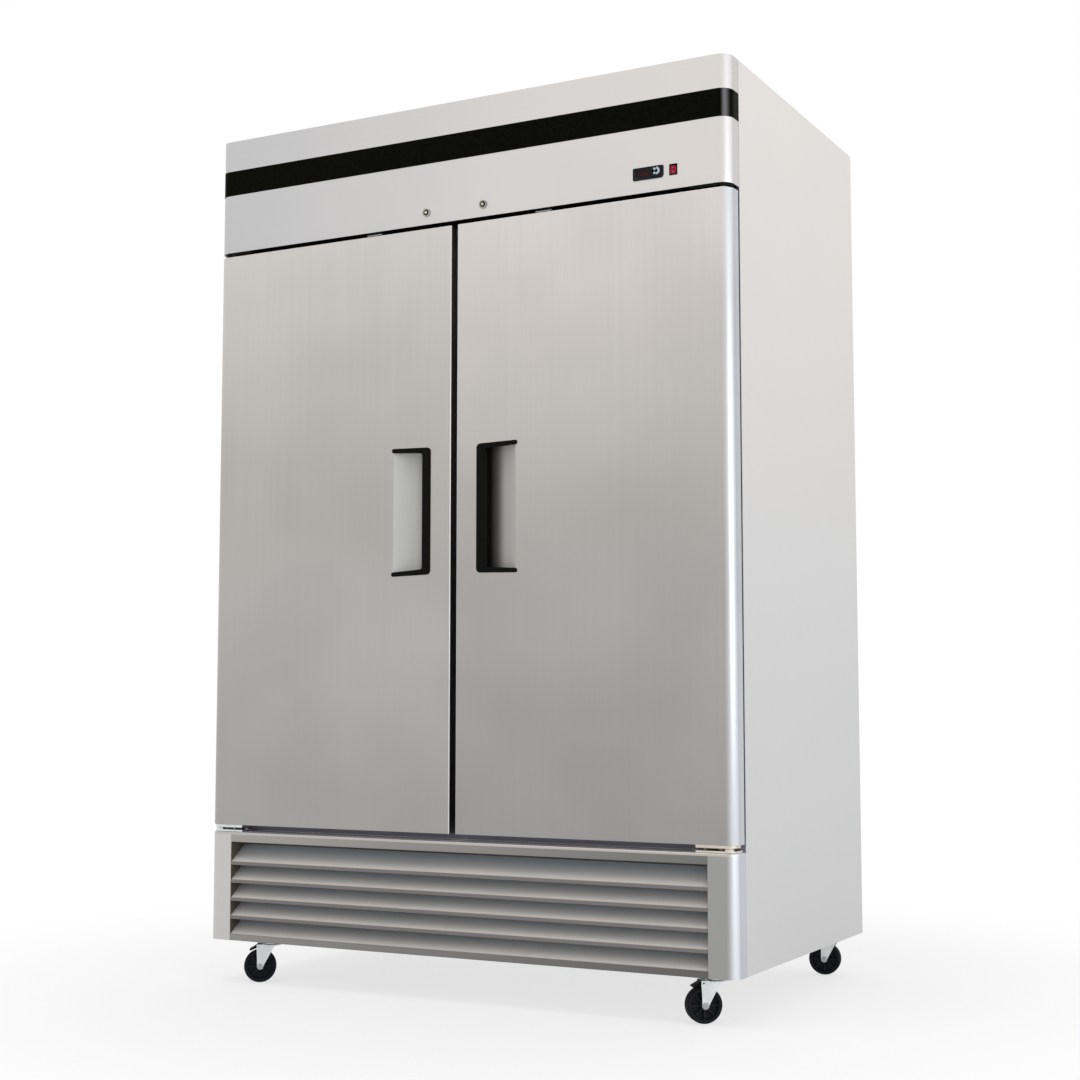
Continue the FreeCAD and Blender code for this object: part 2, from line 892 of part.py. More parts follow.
def right_liner():
    """The inner panel of the door, pressed out inside the gasket."""
    x_low = door_gap / 2 + sheet
    x_high = half_width - sheet
    y_high = front + door_thickness
    y_low = y_high - liner_sheet
    plate = block(x_low, x_high, y_low, y_high, door_bottom + sheet, door_top - sheet)
    a_low, a_high, c_low, c_high = plateau_bounds(0)
    raised = block(a_low, a_high, y_low, y_high + plateau_rise, c_low, c_high)
    raised = eased(raised, 3 * liner_sheet, lambda edge: edge.BoundBox.YLength > plateau_rise / 2)
    a_low, a_high, c_low, c_high = plateau_bounds(-liner_sheet)
    hollow = block(a_low, a_high, y_low - overrun, y_high + plateau_rise - liner_sheet, c_low, c_high)
    return joined([plate, raised]).cut(hollow)


def right_gasket():
    """The magnetic gasket: a base, a bellows neck and a magnet head."""
    x_low = door_gap / 2 + gasket_free_inset - gasket_inset
    x_high = half_width
    y_low = front + door_thickness
    y_high = box_front - seat_gap
    y_base = y_low + gasket_base
    y_head = y_high - gasket_head
    side = (gasket_width - gasket_neck) / 2
    base = face_ring(x_low, x_high, door_bottom, door_top, gasket_inset, gasket_width, y_low, y_base)
    head = face_ring(x_low, x_high, door_bottom, door_top, gasket_inset, gasket_width, y_head, y_high)
    neck = face_ring(x_low, x_high, door_bottom, door_top, gasket_inset + side, gasket_neck, y_low, y_high)
    return joined([base, head, neck])


def handle_outline(inset, y_low, y_high):
    """The bracket's U on the door's face, its arms thinner towards their tips."""
    x_low, x_high, z_low, z_high = handle_bounds()
    x_low = x_low + inset
    x_tip = x_high - inset
    z_low = z_low + inset
    z_high = z_high - inset
    bar_edge = x_low + handle_bar - inset
    root = handle_arm_root - inset
    tip = handle_arm_tip - inset
    points = [(x_low, z_low), (x_tip, z_low), (x_tip, z_low + tip), (bar_edge, z_low + root),
              (bar_edge, z_high - root), (x_tip, z_high - tip), (x_tip, z_high), (x_low, z_high)]
    face = outline_face([Vector(x, y_low, z) for x, z in points])
    solid = face.extrude(Vector(0, y_high - y_low, 0))
    outer_limit = x_low + running_gap
    return eased(solid, handle_corner - inset,
                 lambda edge: edge.BoundBox.XMax < outer_limit and edge.BoundBox.ZLength < running_gap)


def right_handle():
    """The plastic bracket: a flange on the skin, and a bar that bridges the scoop."""
    flange = handle_outline(0, front - handle_proud, front)
    face_limit = front - handle_proud + running_gap
    flange = eased(flange, edge_radius, lambda edge: edge.BoundBox.YMax < face_limit)
    insert = handle_outline(handle_flange + seat_gap, front, front + handle_sink)
    return joined([flange, insert.common(scoop(-seat_gap))])


def right_fittings():
    """The parts screwed to the door: lower hinge arm, two bushes and the lock keeper."""
    return [hinge_arm(), lower_bush(), upper_bush(), lock_keeper()]


def hinge_arm():
    """The flat arm under the door with its upper knuckle round the pin."""
    z_high = door_bottom
    z_low = z_high - bracket_sheet
    arm = hinge_plate(bracket_edge, arm_width, z_low, z_high)
    knuckle = upright(knuckle_radius, pivot_x, pivot_y, knuckle_split() + seat_gap, z_high)
    bore = upright(hinge_pin_radius + running_gap, pivot_x, pivot_y, z_low - 2 * overrun, z_high + overrun)
    return joined([arm, knuckle]).cut(bore)


def knuckle_split():
    """The height where the arm's knuckle turns on the bracket's knuckle."""
    low = grille_top + bracket_sheet
    high = door_bottom - bracket_sheet
    return (low + high) / 2


def bush(z_mouth, way):
    """A plastic bush that fills the door's hole from its mouth inwards."""
    z_end = z_mouth + way * (hinge_pin_reach + bush_flange)
    body = upright(bush_radius, pivot_x, pivot_y, min(z_mouth, z_end), max(z_mouth, z_end))
    z_bore = z_mouth + way * (hinge_pin_reach + seat_gap)
    z_open = z_mouth - way * overrun
    r_bore = hinge_pin_radius + running_gap
    bore = upright(r_bore, pivot_x, pivot_y, min(z_open, z_bore), max(z_open, z_bore))
    return body.cut(bore)


def lower_bush():
    """The bush that stands on the lower hinge pin."""
    return bush(door_bottom, 1)


def upper_bush():
    """The bush that the upper hinge pin turns in, with its flange on the door's top."""
    body = bush(door_top, -1)
    flange = upright(bush_flange_radius, pivot_x, pivot_y, door_top, door_top + bush_flange)
    flange = flange.cut(upright(hinge_pin_radius + running_gap, pivot_x, pivot_y, door_top - overrun,
                                door_top + overrun))
    return joined([body, flange])


def lock_keeper():
    """The plate round the lock's slot in the door's top edge."""
    slot = cam_slot(1, door_top - overrun, door_top + overrun)
    x_low = slot.BoundBox.XMin - keeper_margin
    x_high = slot.BoundBox.XMax + keeper_margin
    y_low = slot.BoundBox.YMin - keeper_margin
    y_high = slot.BoundBox.YMax + keeper_margin
    z_high = door_top + keeper_sheet
    return rounded_plate(x_low, x_high, y_low, y_high, keeper_margin / 2, door_top, z_high).cut(slot)


def door_pieces(maker, side):
    """A door's piece or pieces on the side asked for."""
    made = maker()
    solids = made if isinstance(made, list) else [made]
    return solids if side > 0 else [mirrored(solid) for solid in solids]


# Hinges on the cabinet

def screw(x, y, z_seat, way):
    """A pan-head screw standing on a level seat."""
    z_end = z_seat + way * screw_head_height
    head = upright(screw_head_radius, x, y, min(z_seat, z_end), max(z_seat, z_end))
    return eased(head, edge_radius, lambda edge: is_level_at(edge, z_end))


def is_level_at(edge, height):
    """Whether an edge lies level at one height."""
    bounds = edge.BoundBox
    return bounds.ZLength < running_gap and abs(bounds.ZMin - height) < running_gap


def hinge_plate(inset, depth, z_low, z_high):
    """A hinge's flat plate, set in all round, with its outer corner inside the cabinet's round one."""
    x_high = half_width - inset
    x_low = x_high - bracket_length
    y_low = front + inset
    y_high = y_low + depth
    plate = block(x_low, x_high, y_low, y_high, z_low, z_high)
    plate = eased(plate, corner_radius - inset,
                  lambda edge: is_upright(edge) and edge.BoundBox.XMin > x_low + running_gap
                  and edge.BoundBox.YMax < y_high - running_gap)
    return eased(plate, bracket_edge,
                 lambda edge: is_upright(edge) and (edge.BoundBox.XMax < x_low + running_gap
                                                    or edge.BoundBox.YMin > y_high - running_gap))


def is_upright(edge):
    """Whether an edge stands upright."""
    bounds = edge.BoundBox
    return bounds.XLength < running_gap and bounds.YLength < running_gap and bounds.ZLength > running_gap


def lower_hinge():
    """The bracket on the grille's ledge: plate, lower knuckle, pin and two screws."""
    x_low = half_width - bracket_edge - bracket_length
    z_low = grille_top
    z_high = z_low + bracket_sheet
    plate = hinge_plate(bracket_edge, bracket_width, z_low, z_high)
    knuckle = upright(knuckle_radius, pivot_x, pivot_y, z_low, knuckle_split())
    z_pin = door_bottom + hinge_pin_reach
    pin = upright(hinge_pin_radius, pivot_x, pivot_y, z_low, z_pin)
    pin = eased(pin, edge_radius, lambda edge: is_level_at(edge, z_pin))
    bracket = joined([plate, knuckle, pin])
    y_screw = front + bracket_edge + bracket_width - 2 * screw_head_radius
    screws = [screw(x_low + 2 * screw_head_radius, y_screw, z_high, 1),
              screw(x_low + bracket_length / 2, y_screw, z_high, 1)]
    return [bracket] + screws


def upper_hinge():
    """The plate under the header's floor, with the pin that reaches down into the door."""
    inset = 2 * bracket_edge
    x_low = half_width - inset - bracket_length
    y_middle = front + inset + arm_width / 2
    z_high = header_bottom
    z_low = z_high - bracket_sheet
    plate = hinge_plate(inset, arm_width, z_low, z_high)
    z_pin = door_top - hinge_pin_reach
    pin = upright(hinge_pin_radius, pivot_x, pivot_y, z_pin, z_high)
    pin = eased(pin, edge_radius, lambda edge: is_level_at(edge, z_pin))
    screws = [screw(x_low + 2 * screw_head_radius, y_middle, z_low, -1),
              screw(x_low + bracket_length / 2, y_middle, z_low, -1)]
    return [joined([plate, pin])] + screws


def hinge_pair(maker):
    """The same hinge on both sides."""
    right = maker()
    return right + [mirrored(solid) for solid in right]


# Shelves and what carries them

def bay_bounds():
    """The right bay's width and depth for a shelf."""
    x_low = mullion_width / 2 + shelf_side_gap
    x_high = opening_side - pilaster_depth - shelf_side_gap
    y_low = box_front + mullion_depth + shelf_front_gap
    return x_low, x_high, y_low, cavity_back - shelf_back_gap


def shelf_level(number):
    """The height of a shelf's wires."""
    return opening_bottom + shelf_pitch * (number + 1)


def wire_shelf():
    """One wire shelf at the lowest level: a round-bar frame with wires across it."""
    x_low, x_high, y_low, y_high = bay_bounds()
    z = shelf_level(0)
    r = shelf_frame_radius
    rails = [crosswise(r, x_low, x_high, y, z) for y in (y_low + r, (y_low + y_high) / 2, y_high - r)]
    ends = [inward(r, x, y_low, y_high, z) for x in (x_low + r, x_high - r)]
    step = (x_high - x_low - 4 * r) / (shelf_wire_count + 1)
    z_wire = z + r + shelf_wire_radius - shelf_wire_sink
    wires = [inward(shelf_wire_radius, x_low + 2 * r + step * (index + 1), y_low, y_high, z_wire)
             for index in range(shelf_wire_count)]
    return joined(rails + ends + wires)


def wire_shelves():
    """The shelves of both bays."""
    right = wire_shelf()
    left = mirrored(right)
    shelves = []
    for number in range(shelf_count):
        for shelf in (right, left):
            copy = shelf.copy()
            copy.translate(Vector(0, 0, number * shelf_pitch))
            shelves.append(copy)
    return shelves


def pilaster(x_face, way, y_mid):
    """A slotted upright strip on a wall or post, facing into its bay."""
    z_low = opening_bottom + pilaster_end_gap
    z_high = opening_top - pilaster_end_gap
    x_out = x_face + way * pilaster_depth
    half = pilaster_width / 2
    strip = block(min(x_face, x_out), max(x_face, x_out), y_mid - half, y_mid + half, z_low, z_high)
    x_hollow = x_out - way * pilaster_sheet
    half = half - pilaster_sheet
    hollow = block(min(x_face, x_hollow), max(x_face, x_hollow), y_mid - half, y_mid + half,
                   z_low - overrun, z_high + overrun)
    strip = strip.cut(hollow)
    x_low = min(x_face, x_out) - overrun
    x_high = max(x_face, x_out) + overrun
    half = slot_width / 2
    slots = []
    level = z_low + slot_pitch / 2
    while level + slot_height < z_high:
        slots.append(block(x_low, x_high, y_mid - half, y_mid + half, level, level + slot_height))
        level = level + slot_pitch
    return strip.cut(Part.makeCompound(slots))


def shelf_supports():
    """Pilasters at the corners of each bay, and the clips that carry the shelves."""
    x_low, x_high, y_low, y_high = bay_bounds()
    wall_face = opening_side
    solids = []
    for y_mid in (y_low + pilaster_inset, y_high - pilaster_inset):
        solids.append(pilaster(wall_face, -1, y_mid))
        for number in range(shelf_count):
            solids.append(shelf_clip(x_high - shelf_frame_radius, wall_face - pilaster_depth, y_mid, number))
    centre = centre_standard(y_low + pilaster_inset, y_high - pilaster_inset, x_low)
    return solids + [mirrored(solid) for solid in solids] + centre


def shelf_clip(x_low, x_high, y_mid, number):
    """A clip under a shelf's frame."""
    z_high = shelf_level(number) - shelf_frame_radius
    half = clip_width / 2
    return block(x_low, x_high, y_mid - half, y_mid + half, z_high - clip_height, z_high)


def centre_standard(y_front, y_rear, x_low):
    """The two uprights between the bays, each with clips to both sides."""
    half = pilaster_depth
    half_post = pilaster_width / 2
    z_high = cavity_ceiling - cover_drop
    solids = []
    for y_mid in (y_front, y_rear):
        solids.append(block(-half, half, y_mid - half_post, y_mid + half_post, opening_bottom, z_high))
        for number in range(shelf_count):
            clip = shelf_clip(half, x_low + 2 * shelf_frame_radius, y_mid, number)
            solids.append(clip)
            solids.append(mirrored(clip))
    return solids


# Evaporator

def cover_bounds():
    """The evaporator cover's limits: x, y and the level of its plate."""
    x_reach = opening_side - cover_side_gap
    y_low = box_front + wall + cover_front_gap
    y_high = cavity_back - cover_back_gap
    return x_reach, y_low, y_high, cavity_ceiling - cover_drop


def evaporator_cover():
    """The plate below the coil, its front wall, and the two fan openings with wire guards."""
    x_reach, y_low, y_high, z = cover_bounds()
    plate = block(-x_reach, x_reach, y_low, y_high, z, z + cover_sheet)
    front_wall = block(-x_reach, x_reach, y_low, y_low + cover_sheet, z, cavity_ceiling)
    end_wall = block(x_reach - cover_sheet, x_reach, y_low, y_high, z, cavity_ceiling)
    shell = joined([plate, front_wall, end_wall, mirrored(end_wall)])
    guards = []
    for side in (-1, 1):
        x = side * x_reach / 2
        y = y_low + evaporator_fan_setback
        opening = evaporator_fan_radius + fan_opening_gap
        shell = shell.cut(upright(opening, x, y, z - overrun, z + overrun))
        guards.append(fan_guard(x, y, z, opening))
    return [shell] + guards


def fan_guard(x, y, z, opening):
    """A guard of wire rings on crossed wires, hung under the plate."""
    reach = opening + 2 * guard_wire_radius
    level = z - guard_wire_radius
    rings = []
    for number in range(guard_ring_count):
        radius = reach * (number + 1) / guard_ring_count
        rings.append(Part.makeTorus(radius, guard_wire_radius, Vector(x, y, level)))
    half = guard_wire_radius
    far = reach + half
    bars = [block(x - far, x + far, y - half, y + half, level - 2 * half, level - half / 2),
            block(x - half, x + half, y - far, y + far, level - 2 * half, level - half / 2)]
    return joined(bars + rings)


def fan(radius, shaft_bore):
    """A fan at the origin turning about Z: a hub with pitched blades."""
    half_hub = fan_hub_height / 2
    root = fan_hub_radius / 2
    half_chord = (radius + fan_hub_radius) / 4
    half_depth = fan_blade_depth(radius) / 2
    trim = upright(radius, 0, 0, -half_depth, half_depth)
    body = upright(fan_hub_radius, 0, 0, -half_hub, half_hub)
    for number in range(fan_blade_count):
        blade = block(root, radius, -half_chord, half_chord, -fan_blade_sheet / 2, fan_blade_sheet / 2)
        blade.rotate(Vector(0, 0, 0), Vector(1, 0, 0), fan_blade_pitch)
        blade = blade.common(trim)
        blade.rotate(Vector(0, 0, 0), Vector(0, 0, 1), 360.0 * number / fan_blade_count)
        body = joined([body, blade])
    return body.cut(upright(shaft_bore, 0, 0, -half_hub, half_hub))


def fan_blade_depth(radius):
    """How far a fan's blades reach along its axis."""
    return (radius + fan_hub_radius) / 2 * math.sin(math.radians(fan_blade_pitch))


def evaporator_fan_centre(side):
    """The middle of one of the evaporator fans, half way along its half of the cover."""
    x_reach, y_low, _, z = cover_bounds()
    level = z + cover_sheet + fan_tip_gap + fan_blade_depth(evaporator_fan_radius) / 2
    return Vector(side * x_reach / 2, y_low + evaporator_fan_setback, level)


def evaporator_fan(side):
    """One evaporator fan, above its opening in the cover."""
    body = fan(evaporator_fan_radius, motor_shaft_radius + running_gap)
    body.translate(evaporator_fan_centre(side))
    return [body]


def motor(base_gap, arm_reach, arm_drop):
    """A motor above the origin, its shaft pointing down, with two bent arms that carry it."""
    case = Part.makeCylinder(motor_radius, motor_length, Vector(0, 0, base_gap))
    case = eased(case, 3 * edge_radius, lambda edge: edge.BoundBox.ZLength < running_gap)
    shaft = upright(motor_shaft_radius, 0, 0, -fan_hub_height / 2, base_gap)
    z_low = base_gap + motor_length / 2
    z_high = z_low + motor_arm_sheet
    near = motor_radius - motor_arm_gap
    half = motor_arm_width / 2
    arm = block(near, arm_reach, -half, half, z_low, z_high)
    leg = block(arm_reach - motor_arm_sheet, arm_reach, -half, half, arm_drop, z_high)
    return joined([case, shaft, arm, leg, mirrored(arm), mirrored(leg)])


def fan_motors():
    """The motors of the two evaporator fans and of the condenser fan."""
    motors = []
    for side in (-1, 1):
        centre = evaporator_fan_centre(side)
        gap = max(fan_blade_depth(evaporator_fan_radius), fan_hub_height) / 2 + motor_arm_gap
        drop = cover_bounds()[3] + cover_sheet - centre.z
        reach = evaporator_fan_radius + 2 * fan_opening_gap + motor_arm_sheet
        piece = motor(gap, reach, drop)
        piece.translate(centre)
        motors.append(piece)
    gap = max(fan_blade_depth(condenser_fan_radius), fan_hub_height) / 2 + motor_arm_gap
    reach = condenser_fan_radius + 2 * fan_opening_gap + motor_arm_sheet
    x, y, z = condenser_fan_centre()
    piece = motor(gap, reach, shroud_back() - y)
    piece.rotate(Vector(0, 0, 0), Vector(1, 0, 0), -90)
    piece.translate(Vector(x, y, z))
    return motors + [piece]


def coil(x_low, x_high, y_low, y_high, z_low, z_high):
    """A finned block between two end plates, with return bends at both ends."""
    core = block(x_low + coil_plate, x_high - coil_plate, y_low, y_high, z_low, z_high)
    plates = [block(x, x + coil_plate, y_low - coil_plate, y_high + coil_plate, z_low - coil_plate,
                    z_high + coil_plate) for x in (x_low, x_high - coil_plate)]
    bends = []
    pitch = (z_high - z_low) / (2 * tube_rows)
    for row in range(tube_rows):
        z_mid = z_low + pitch * (2 * row + 1)
        for x, way in ((x_low, -1), (x_high, 1)):
            torus = Part.makeTorus(pitch / 2, tube_radius, Vector(x, (y_low + y_high) / 2, z_mid),
                                   Vector(0, 1, 0))
            reach = way * (pitch + 2 * tube_radius)
            keep = block(min(x, x + reach), max(x, x + reach), y_low, y_high, z_mid - pitch, z_mid + pitch)
            bends.append(torus.common(keep))
    return [joined([core] + plates)] + bends


def evaporator_coil():
    """The evaporator above the cover's plate, at the back of the box."""
    y_low = evaporator_fan_centre(1).y + evaporator_fan_radius + coil_fan_gap
    y_high = cavity_back - coil_back_gap
    z_low = cavity_ceiling - cover_drop + cover_sheet + coil_rise
    half = cover_bounds()[0] - coil_side_gap
    solids = coil(-half, half, y_low, y_high, z_low, z_low + coil_height)
    plate_low = z_low - coil_plate
    stand_low = cavity_ceiling - cover_drop + cover_sheet
    for x in (-half, half - coil_plate):
        foot = block(x, x + coil_plate, y_low, y_high, stand_low, plate_low)
        solids[0] = joined([solids[0], foot])
    return solids


# Grille

def grille_plan(inset, z_low, z_high):
    """The grille's plan form, brought in by an inset."""
    reach = half_width - inset
    radius = corner_radius - inset
    return plan_solid(-reach, reach, front + inset, box_front, radius, radius, z_low, z_high)


def end_cap(side):
    """A rounded hollow post at one end of the grille."""
    x_low = half_width - cap_width
    z_high = grille_top - sheet
    outer = plan_solid(x_low, half_width, front, box_front, edge_radius, corner_radius,
                       grille_bottom, z_high)
    inner = plan_solid(x_low + cap_sheet, half_width - cap_sheet, front + cap_sheet, box_front + overrun,
                       edge_radius, corner_radius - cap_sheet, grille_bottom - overrun, z_high + overrun)
    post = outer.cut(inner)
    return post if side > 0 else mirrored(post)


def top_rail():
    """The front rail below the doors, with the ledge that runs back to the cabinet."""
    ledge = grille_plan(0, grille_top - sheet, grille_top)
    ledge = eased(ledge, edge_radius / 2, lambda edge: is_front_rim(edge, grille_top))
    x = half_width - cap_width
    z_low = grille_top - top_rail_height
    face = block(-x, x, front, front + sheet, z_low, grille_top - sheet)
    fold = block(-x, x, front, front + rail_return, z_low, z_low + sheet)
    return joined([ledge, face, fold])


def bottom_rail():
    """The rail under the blades, folded back below."""
    x = half_width - cap_width
    z_high = grille_bottom + bottom_rail_height
    face = block(-x, x, front, front + sheet, grille_bottom, z_high)
    fold = block(-x, x, front, box_front, grille_bottom, grille_bottom + sheet)
    return joined([face, fold])


def grille_frame():
    """The fixed frame of the grille: two rails and two end caps."""
    return [top_rail(), bottom_rail(), end_cap(-1), end_cap(1)]


def grille_louvres():
    """The sloped blades, all but the lowest with a front lip."""
    x = half_width - cap_width - blade_side_gap
    first = grille_bottom + bottom_rail_height
    depth = box_front - blade_setback
    blades = []
    for number in range(blade_count):
        z = first + number * blade_pitch
        tail = [(depth, z + blade_rise), (depth, z + blade_rise - sheet)]
        if number == 0:
            points = [(front + sheet, z - sheet), (front + sheet, z)] + tail
        else:
            points = [(front, z - blade_lip), (front, z)] + tail
            points = points + [(front + sheet, z - sheet), (front + sheet, z - blade_lip)]
        blades.append(side_prism(points, -x, x))
    return blades


# Machine compartment

def base_pan():
    """The pan under the compressor, which the casters are bolted to."""
    x = half_width - sheet
    y_low = box_front + seat_gap
    y_high = back - sheet
    z_low = ground_clearance
    z_high = z_low + pan_flange
    outer = block(-x, x, y_low, y_high, z_low, z_high)
    x = x - sheet
    inner = block(-x, x, y_low + sheet, y_high - sheet, z_low + sheet, z_high + overrun)
    return [outer.cut(inner)]


def pan_top():
    """The level that the machine parts stand on."""
    return ground_clearance + sheet


def condenser_bounds():
    """The condenser coil's limits."""
    x_high = half_width - condenser_inset
    y_low = box_front + condenser_setback
    z_low = pan_top() + coil_plate
    return x_high - condenser_width, x_high, y_low, y_low + condenser_depth, z_low, z_low + condenser_height


def shroud_back():
    """The plane of the condenser shroud's rear wall."""
    return condenser_bounds()[3] + shroud_depth


def condenser_fan_centre():
    """The middle of the condenser fan."""
    x_low, x_high, _, _, z_low, z_high = condenser_bounds()
    y = shroud_back() + fan_tip_gap + fan_blade_depth(condenser_fan_radius) / 2
    return (x_low + x_high) / 2, y, (z_low + z_high) / 2


def condenser():
    """The condenser coil and the shroud that ducts it to its fan."""
    x_low, x_high, y_low, y_high, z_low, z_high = condenser_bounds()
    solids = coil(x_low, x_high, y_low, y_high, z_low, z_high)
    y_start = y_high + coil_plate
    outer = block(x_low, x_high, y_start, shroud_back(), z_low - coil_plate, z_high + coil_plate)
    y_wall = shroud_back() - shroud_sheet
    inner = block(x_low + shroud_sheet, x_high - shroud_sheet, y_start - overrun, y_wall, z_low, z_high)
    x, _, z = condenser_fan_centre()
    mouth = inward(condenser_fan_radius + fan_opening_gap, x, y_start, shroud_back() + overrun, z)
    return solids + [outer.cut(inner).cut(mouth)]


def condenser_fan():
    """The condenser fan behind its shroud."""
    body = fan(condenser_fan_radius, motor_shaft_radius + running_gap)
    body.rotate(Vector(0, 0, 0), Vector(1, 0, 0), -90)
    body.translate(Vector(*condenser_fan_centre()))
    return [body]


def compressor():
    """The sealed compressor on its foot plate and grommets, with its two pipes."""
    x = compressor_inset - half_width
    y = front + compressor_setback
    z_foot = pan_top() + grommet_height
    z_can = z_foot + compressor_foot_sheet
    half = compressor_foot / 2
    foot = rounded_plate(x - half, x + half, y - half, y + half, grommet_radius, z_foot, z_can)
    z_top = z_can + compressor_height
    can = upright(compressor_radius, x, y, z_can, z_top)
    can = eased(can, compressor_dome, lambda edge: is_level_at(edge, z_top))
    terminal = block(x + compressor_radius - terminal_sink, x + compressor_radius + terminal_depth,
                     y - terminal_width / 2, y + terminal_width / 2, z_can + terminal_rise,
                     z_can + terminal_rise + terminal_height)
    solids = [joined([foot, can, terminal])]
    spread = half - grommet_inset
    for x_way in (-1, 1):
        for y_way in (-1, 1):
            solids.append(upright(grommet_radius, x + x_way * spread, y + y_way * spread, pan_top(), z_foot))
    z_pipe = z_can + compressor_height / 2
    start = Vector(x - compressor_radius, y, z_pipe)
    suction_x = x - compressor_radius - 2 * pipe_bend
    solids.append(pipe([start, Vector(suction_x, y, z_pipe), Vector(suction_x, y, box_bottom - sheet)]))
    x_low, _, y_low, y_high, _, z_high = condenser_bounds()
    y_coil = y_high - tube_radius
    start = Vector(x, y - compressor_radius, z_pipe)
    solids.append(pipe([start, Vector(x, y_coil, z_pipe), Vector(x_low, y_coil, z_pipe)]))
    return solids


def pipe(points):
    """A pipe of two straight runs joined by one bend."""
    first = (points[1] - points[0]).normalize()
    second = (points[2] - points[1]).normalize()
    enter = points[1] - first * pipe_bend
    leave = points[1] + second * pipe_bend
    centre = enter + second * pipe_bend
    middle = centre + (first - second) * (pipe_bend * diagonal_share)
    path = Part.Wire([Part.LineSegment(points[0], enter).toShape(), Part.Arc(enter, middle, leave).toShape(),
                      Part.LineSegment(leave, points[2]).toShape()])
    ring = Part.Wire([Part.Circle(points[0], first, pipe_radius).toShape()])
    return path.makePipeShell([ring], True, False)


def power_inlet():
    """The power inlet's box behind the back sheet, with its three contacts' well."""
    body = inlet_block(0, back - inlet_depth, back)
    rim = inlet_block(inlet_flange, back - sheet - inlet_rim, back - sheet)
    well = inlet_block(-inlet_wall, back - inlet_depth + inlet_wall, back + overrun)
    pins = []
    for shift in (-inlet_pin_pitch, 0, inlet_pin_pitch):
        z = ground_clearance + inlet_rise
        x = inlet_offset + shift
        pins.append(inward(inlet_pin_radius, x, back - inlet_depth, back - inlet_pin_sink, z))
    return [joined([joined([body, rim]).cut(well)] + pins)]


def inlet_block(growth, y_low, y_high):
    """A block on the power inlet's outline, grown or shrunk all round."""
    z = ground_clearance + inlet_rise
    half = inlet_width / 2 + growth
    rise = inlet_height / 2 + growth
    return block(inlet_offset - half, inlet_offset + half, y_low, y_high, z - rise, z + rise)


# Casters

def caster_places():
    """Each caster's name, place and heading."""
    x_left = caster_inset_left - half_width
    x_right = half_width - caster_inset_right
    y_front = front + caster_front_setback
    y_back = back - caster_back_setback
    return (("front_left", x_left, y_front, front_left_heading),
            ("front_right", x_right, y_front, front_right_heading),
            ("rear_left", x_left, y_back, rear_left_heading),
            ("rear_right", half_width - caster_inset_rear_right, y_back, rear_right_heading))


def placed(solid, x, y, heading):
    """A caster piece turned to its heading and moved to its place."""
    copy = solid.copy()
    copy.rotate(Vector(0, 0, 0), Vector(0, 0, 1), heading)
    copy.translate(Vector(x, y, 0))
    return copy


def race_bottom():
    """The underside of the swivel race."""
    return ground_clearance - plate_sheet - race_height


def crown_bottom():
    """The underside of the fork's crown."""
    return race_bottom() - seat_gap - fork_sheet


def caster_plate():
    """A top plate with its swivel race and kingpin, at the origin."""
    top = ground_clearance
    half_length = plate_length / 2
    half_width_of_plate = plate_width / 2
    plate = rounded_plate(-half_length, half_length, -half_width_of_plate, half_width_of_plate,
                          plate_corner, top - plate_sheet, top)
    for x_way in (-1, 1):
        for y_way in (-1, 1):
            x = x_way * plate_bolt_length_spacing / 2
            y = y_way * plate_bolt_width_spacing / 2
            plate = plate.cut(upright(plate_bolt_radius, x, y, top - 2 * overrun, top + overrun))
    race = upright(race_radius, 0, 0, race_bottom(), top - plate_sheet)
    race = eased(race, 2 * edge_radius, lambda edge: edge.BoundBox.ZMax < race_bottom() + running_gap)
    pin = upright(kingpin_radius, 0, 0, crown_bottom() - seat_gap - kingpin_head_height, top)
    head = upright(kingpin_head_radius, 0, 0, crown_bottom() - seat_gap - kingpin_head_height,
                   crown_bottom() - seat_gap)
    return joined([plate, race, pin, head])


def caster_plates():
    """The four top plates."""
    return [placed(caster_plate(), x, y, 0) for _, x, y, _ in caster_places()]


def fork_half_width():
    """Half the fork's width over its legs."""
    return wheel_width / 2 + fork_side_gap + fork_sheet


def fork_leg(side, braked):
    """One leg of the fork, with its round end at the axle."""
    z_top = crown_bottom() + fork_sheet
    lead = trail + fork_end_radius
    foot = [(lead, wheel_radius), (trail - fork_end_radius, wheel_radius)]
    points = [(-fork_back, z_top), (lead, z_top)] + foot
    if braked:
        nose = trail + pedal_pin_advance + 2 * pedal_pin_radius
        z_nose = z_top - pedal_pin_drop - 2 * pedal_pin_radius
        neck = [(nose, z_top), (nose, z_nose), (lead, wheel_radius + 2 * fork_end_radius)]
        points = [(-fork_back, z_top)] + neck + foot
    y_out = side * fork_half_width()
    y_in = side * (fork_half_width() - fork_sheet)
    y_low = min(y_out, y_in)
    y_high = max(y_out, y_in)
    leg = outline_face([Vector(x, y_low, z) for x, z in points]).extrude(Vector(0, y_high - y_low, 0))
    end = inward(fork_end_radius, trail, y_low, y_high, wheel_radius)
    leg = joined([leg, end])
    leg = leg.cut(inward(axle_radius + running_gap, trail, y_low - overrun, y_high + overrun, wheel_radius))
    if braked:
        x_pin = trail + pedal_pin_advance
        z_pin = z_top - pedal_pin_drop
        bore = pedal_pin_radius + running_gap
        leg = leg.cut(inward(bore, x_pin, y_low - overrun, y_high + overrun, z_pin))
    return leg


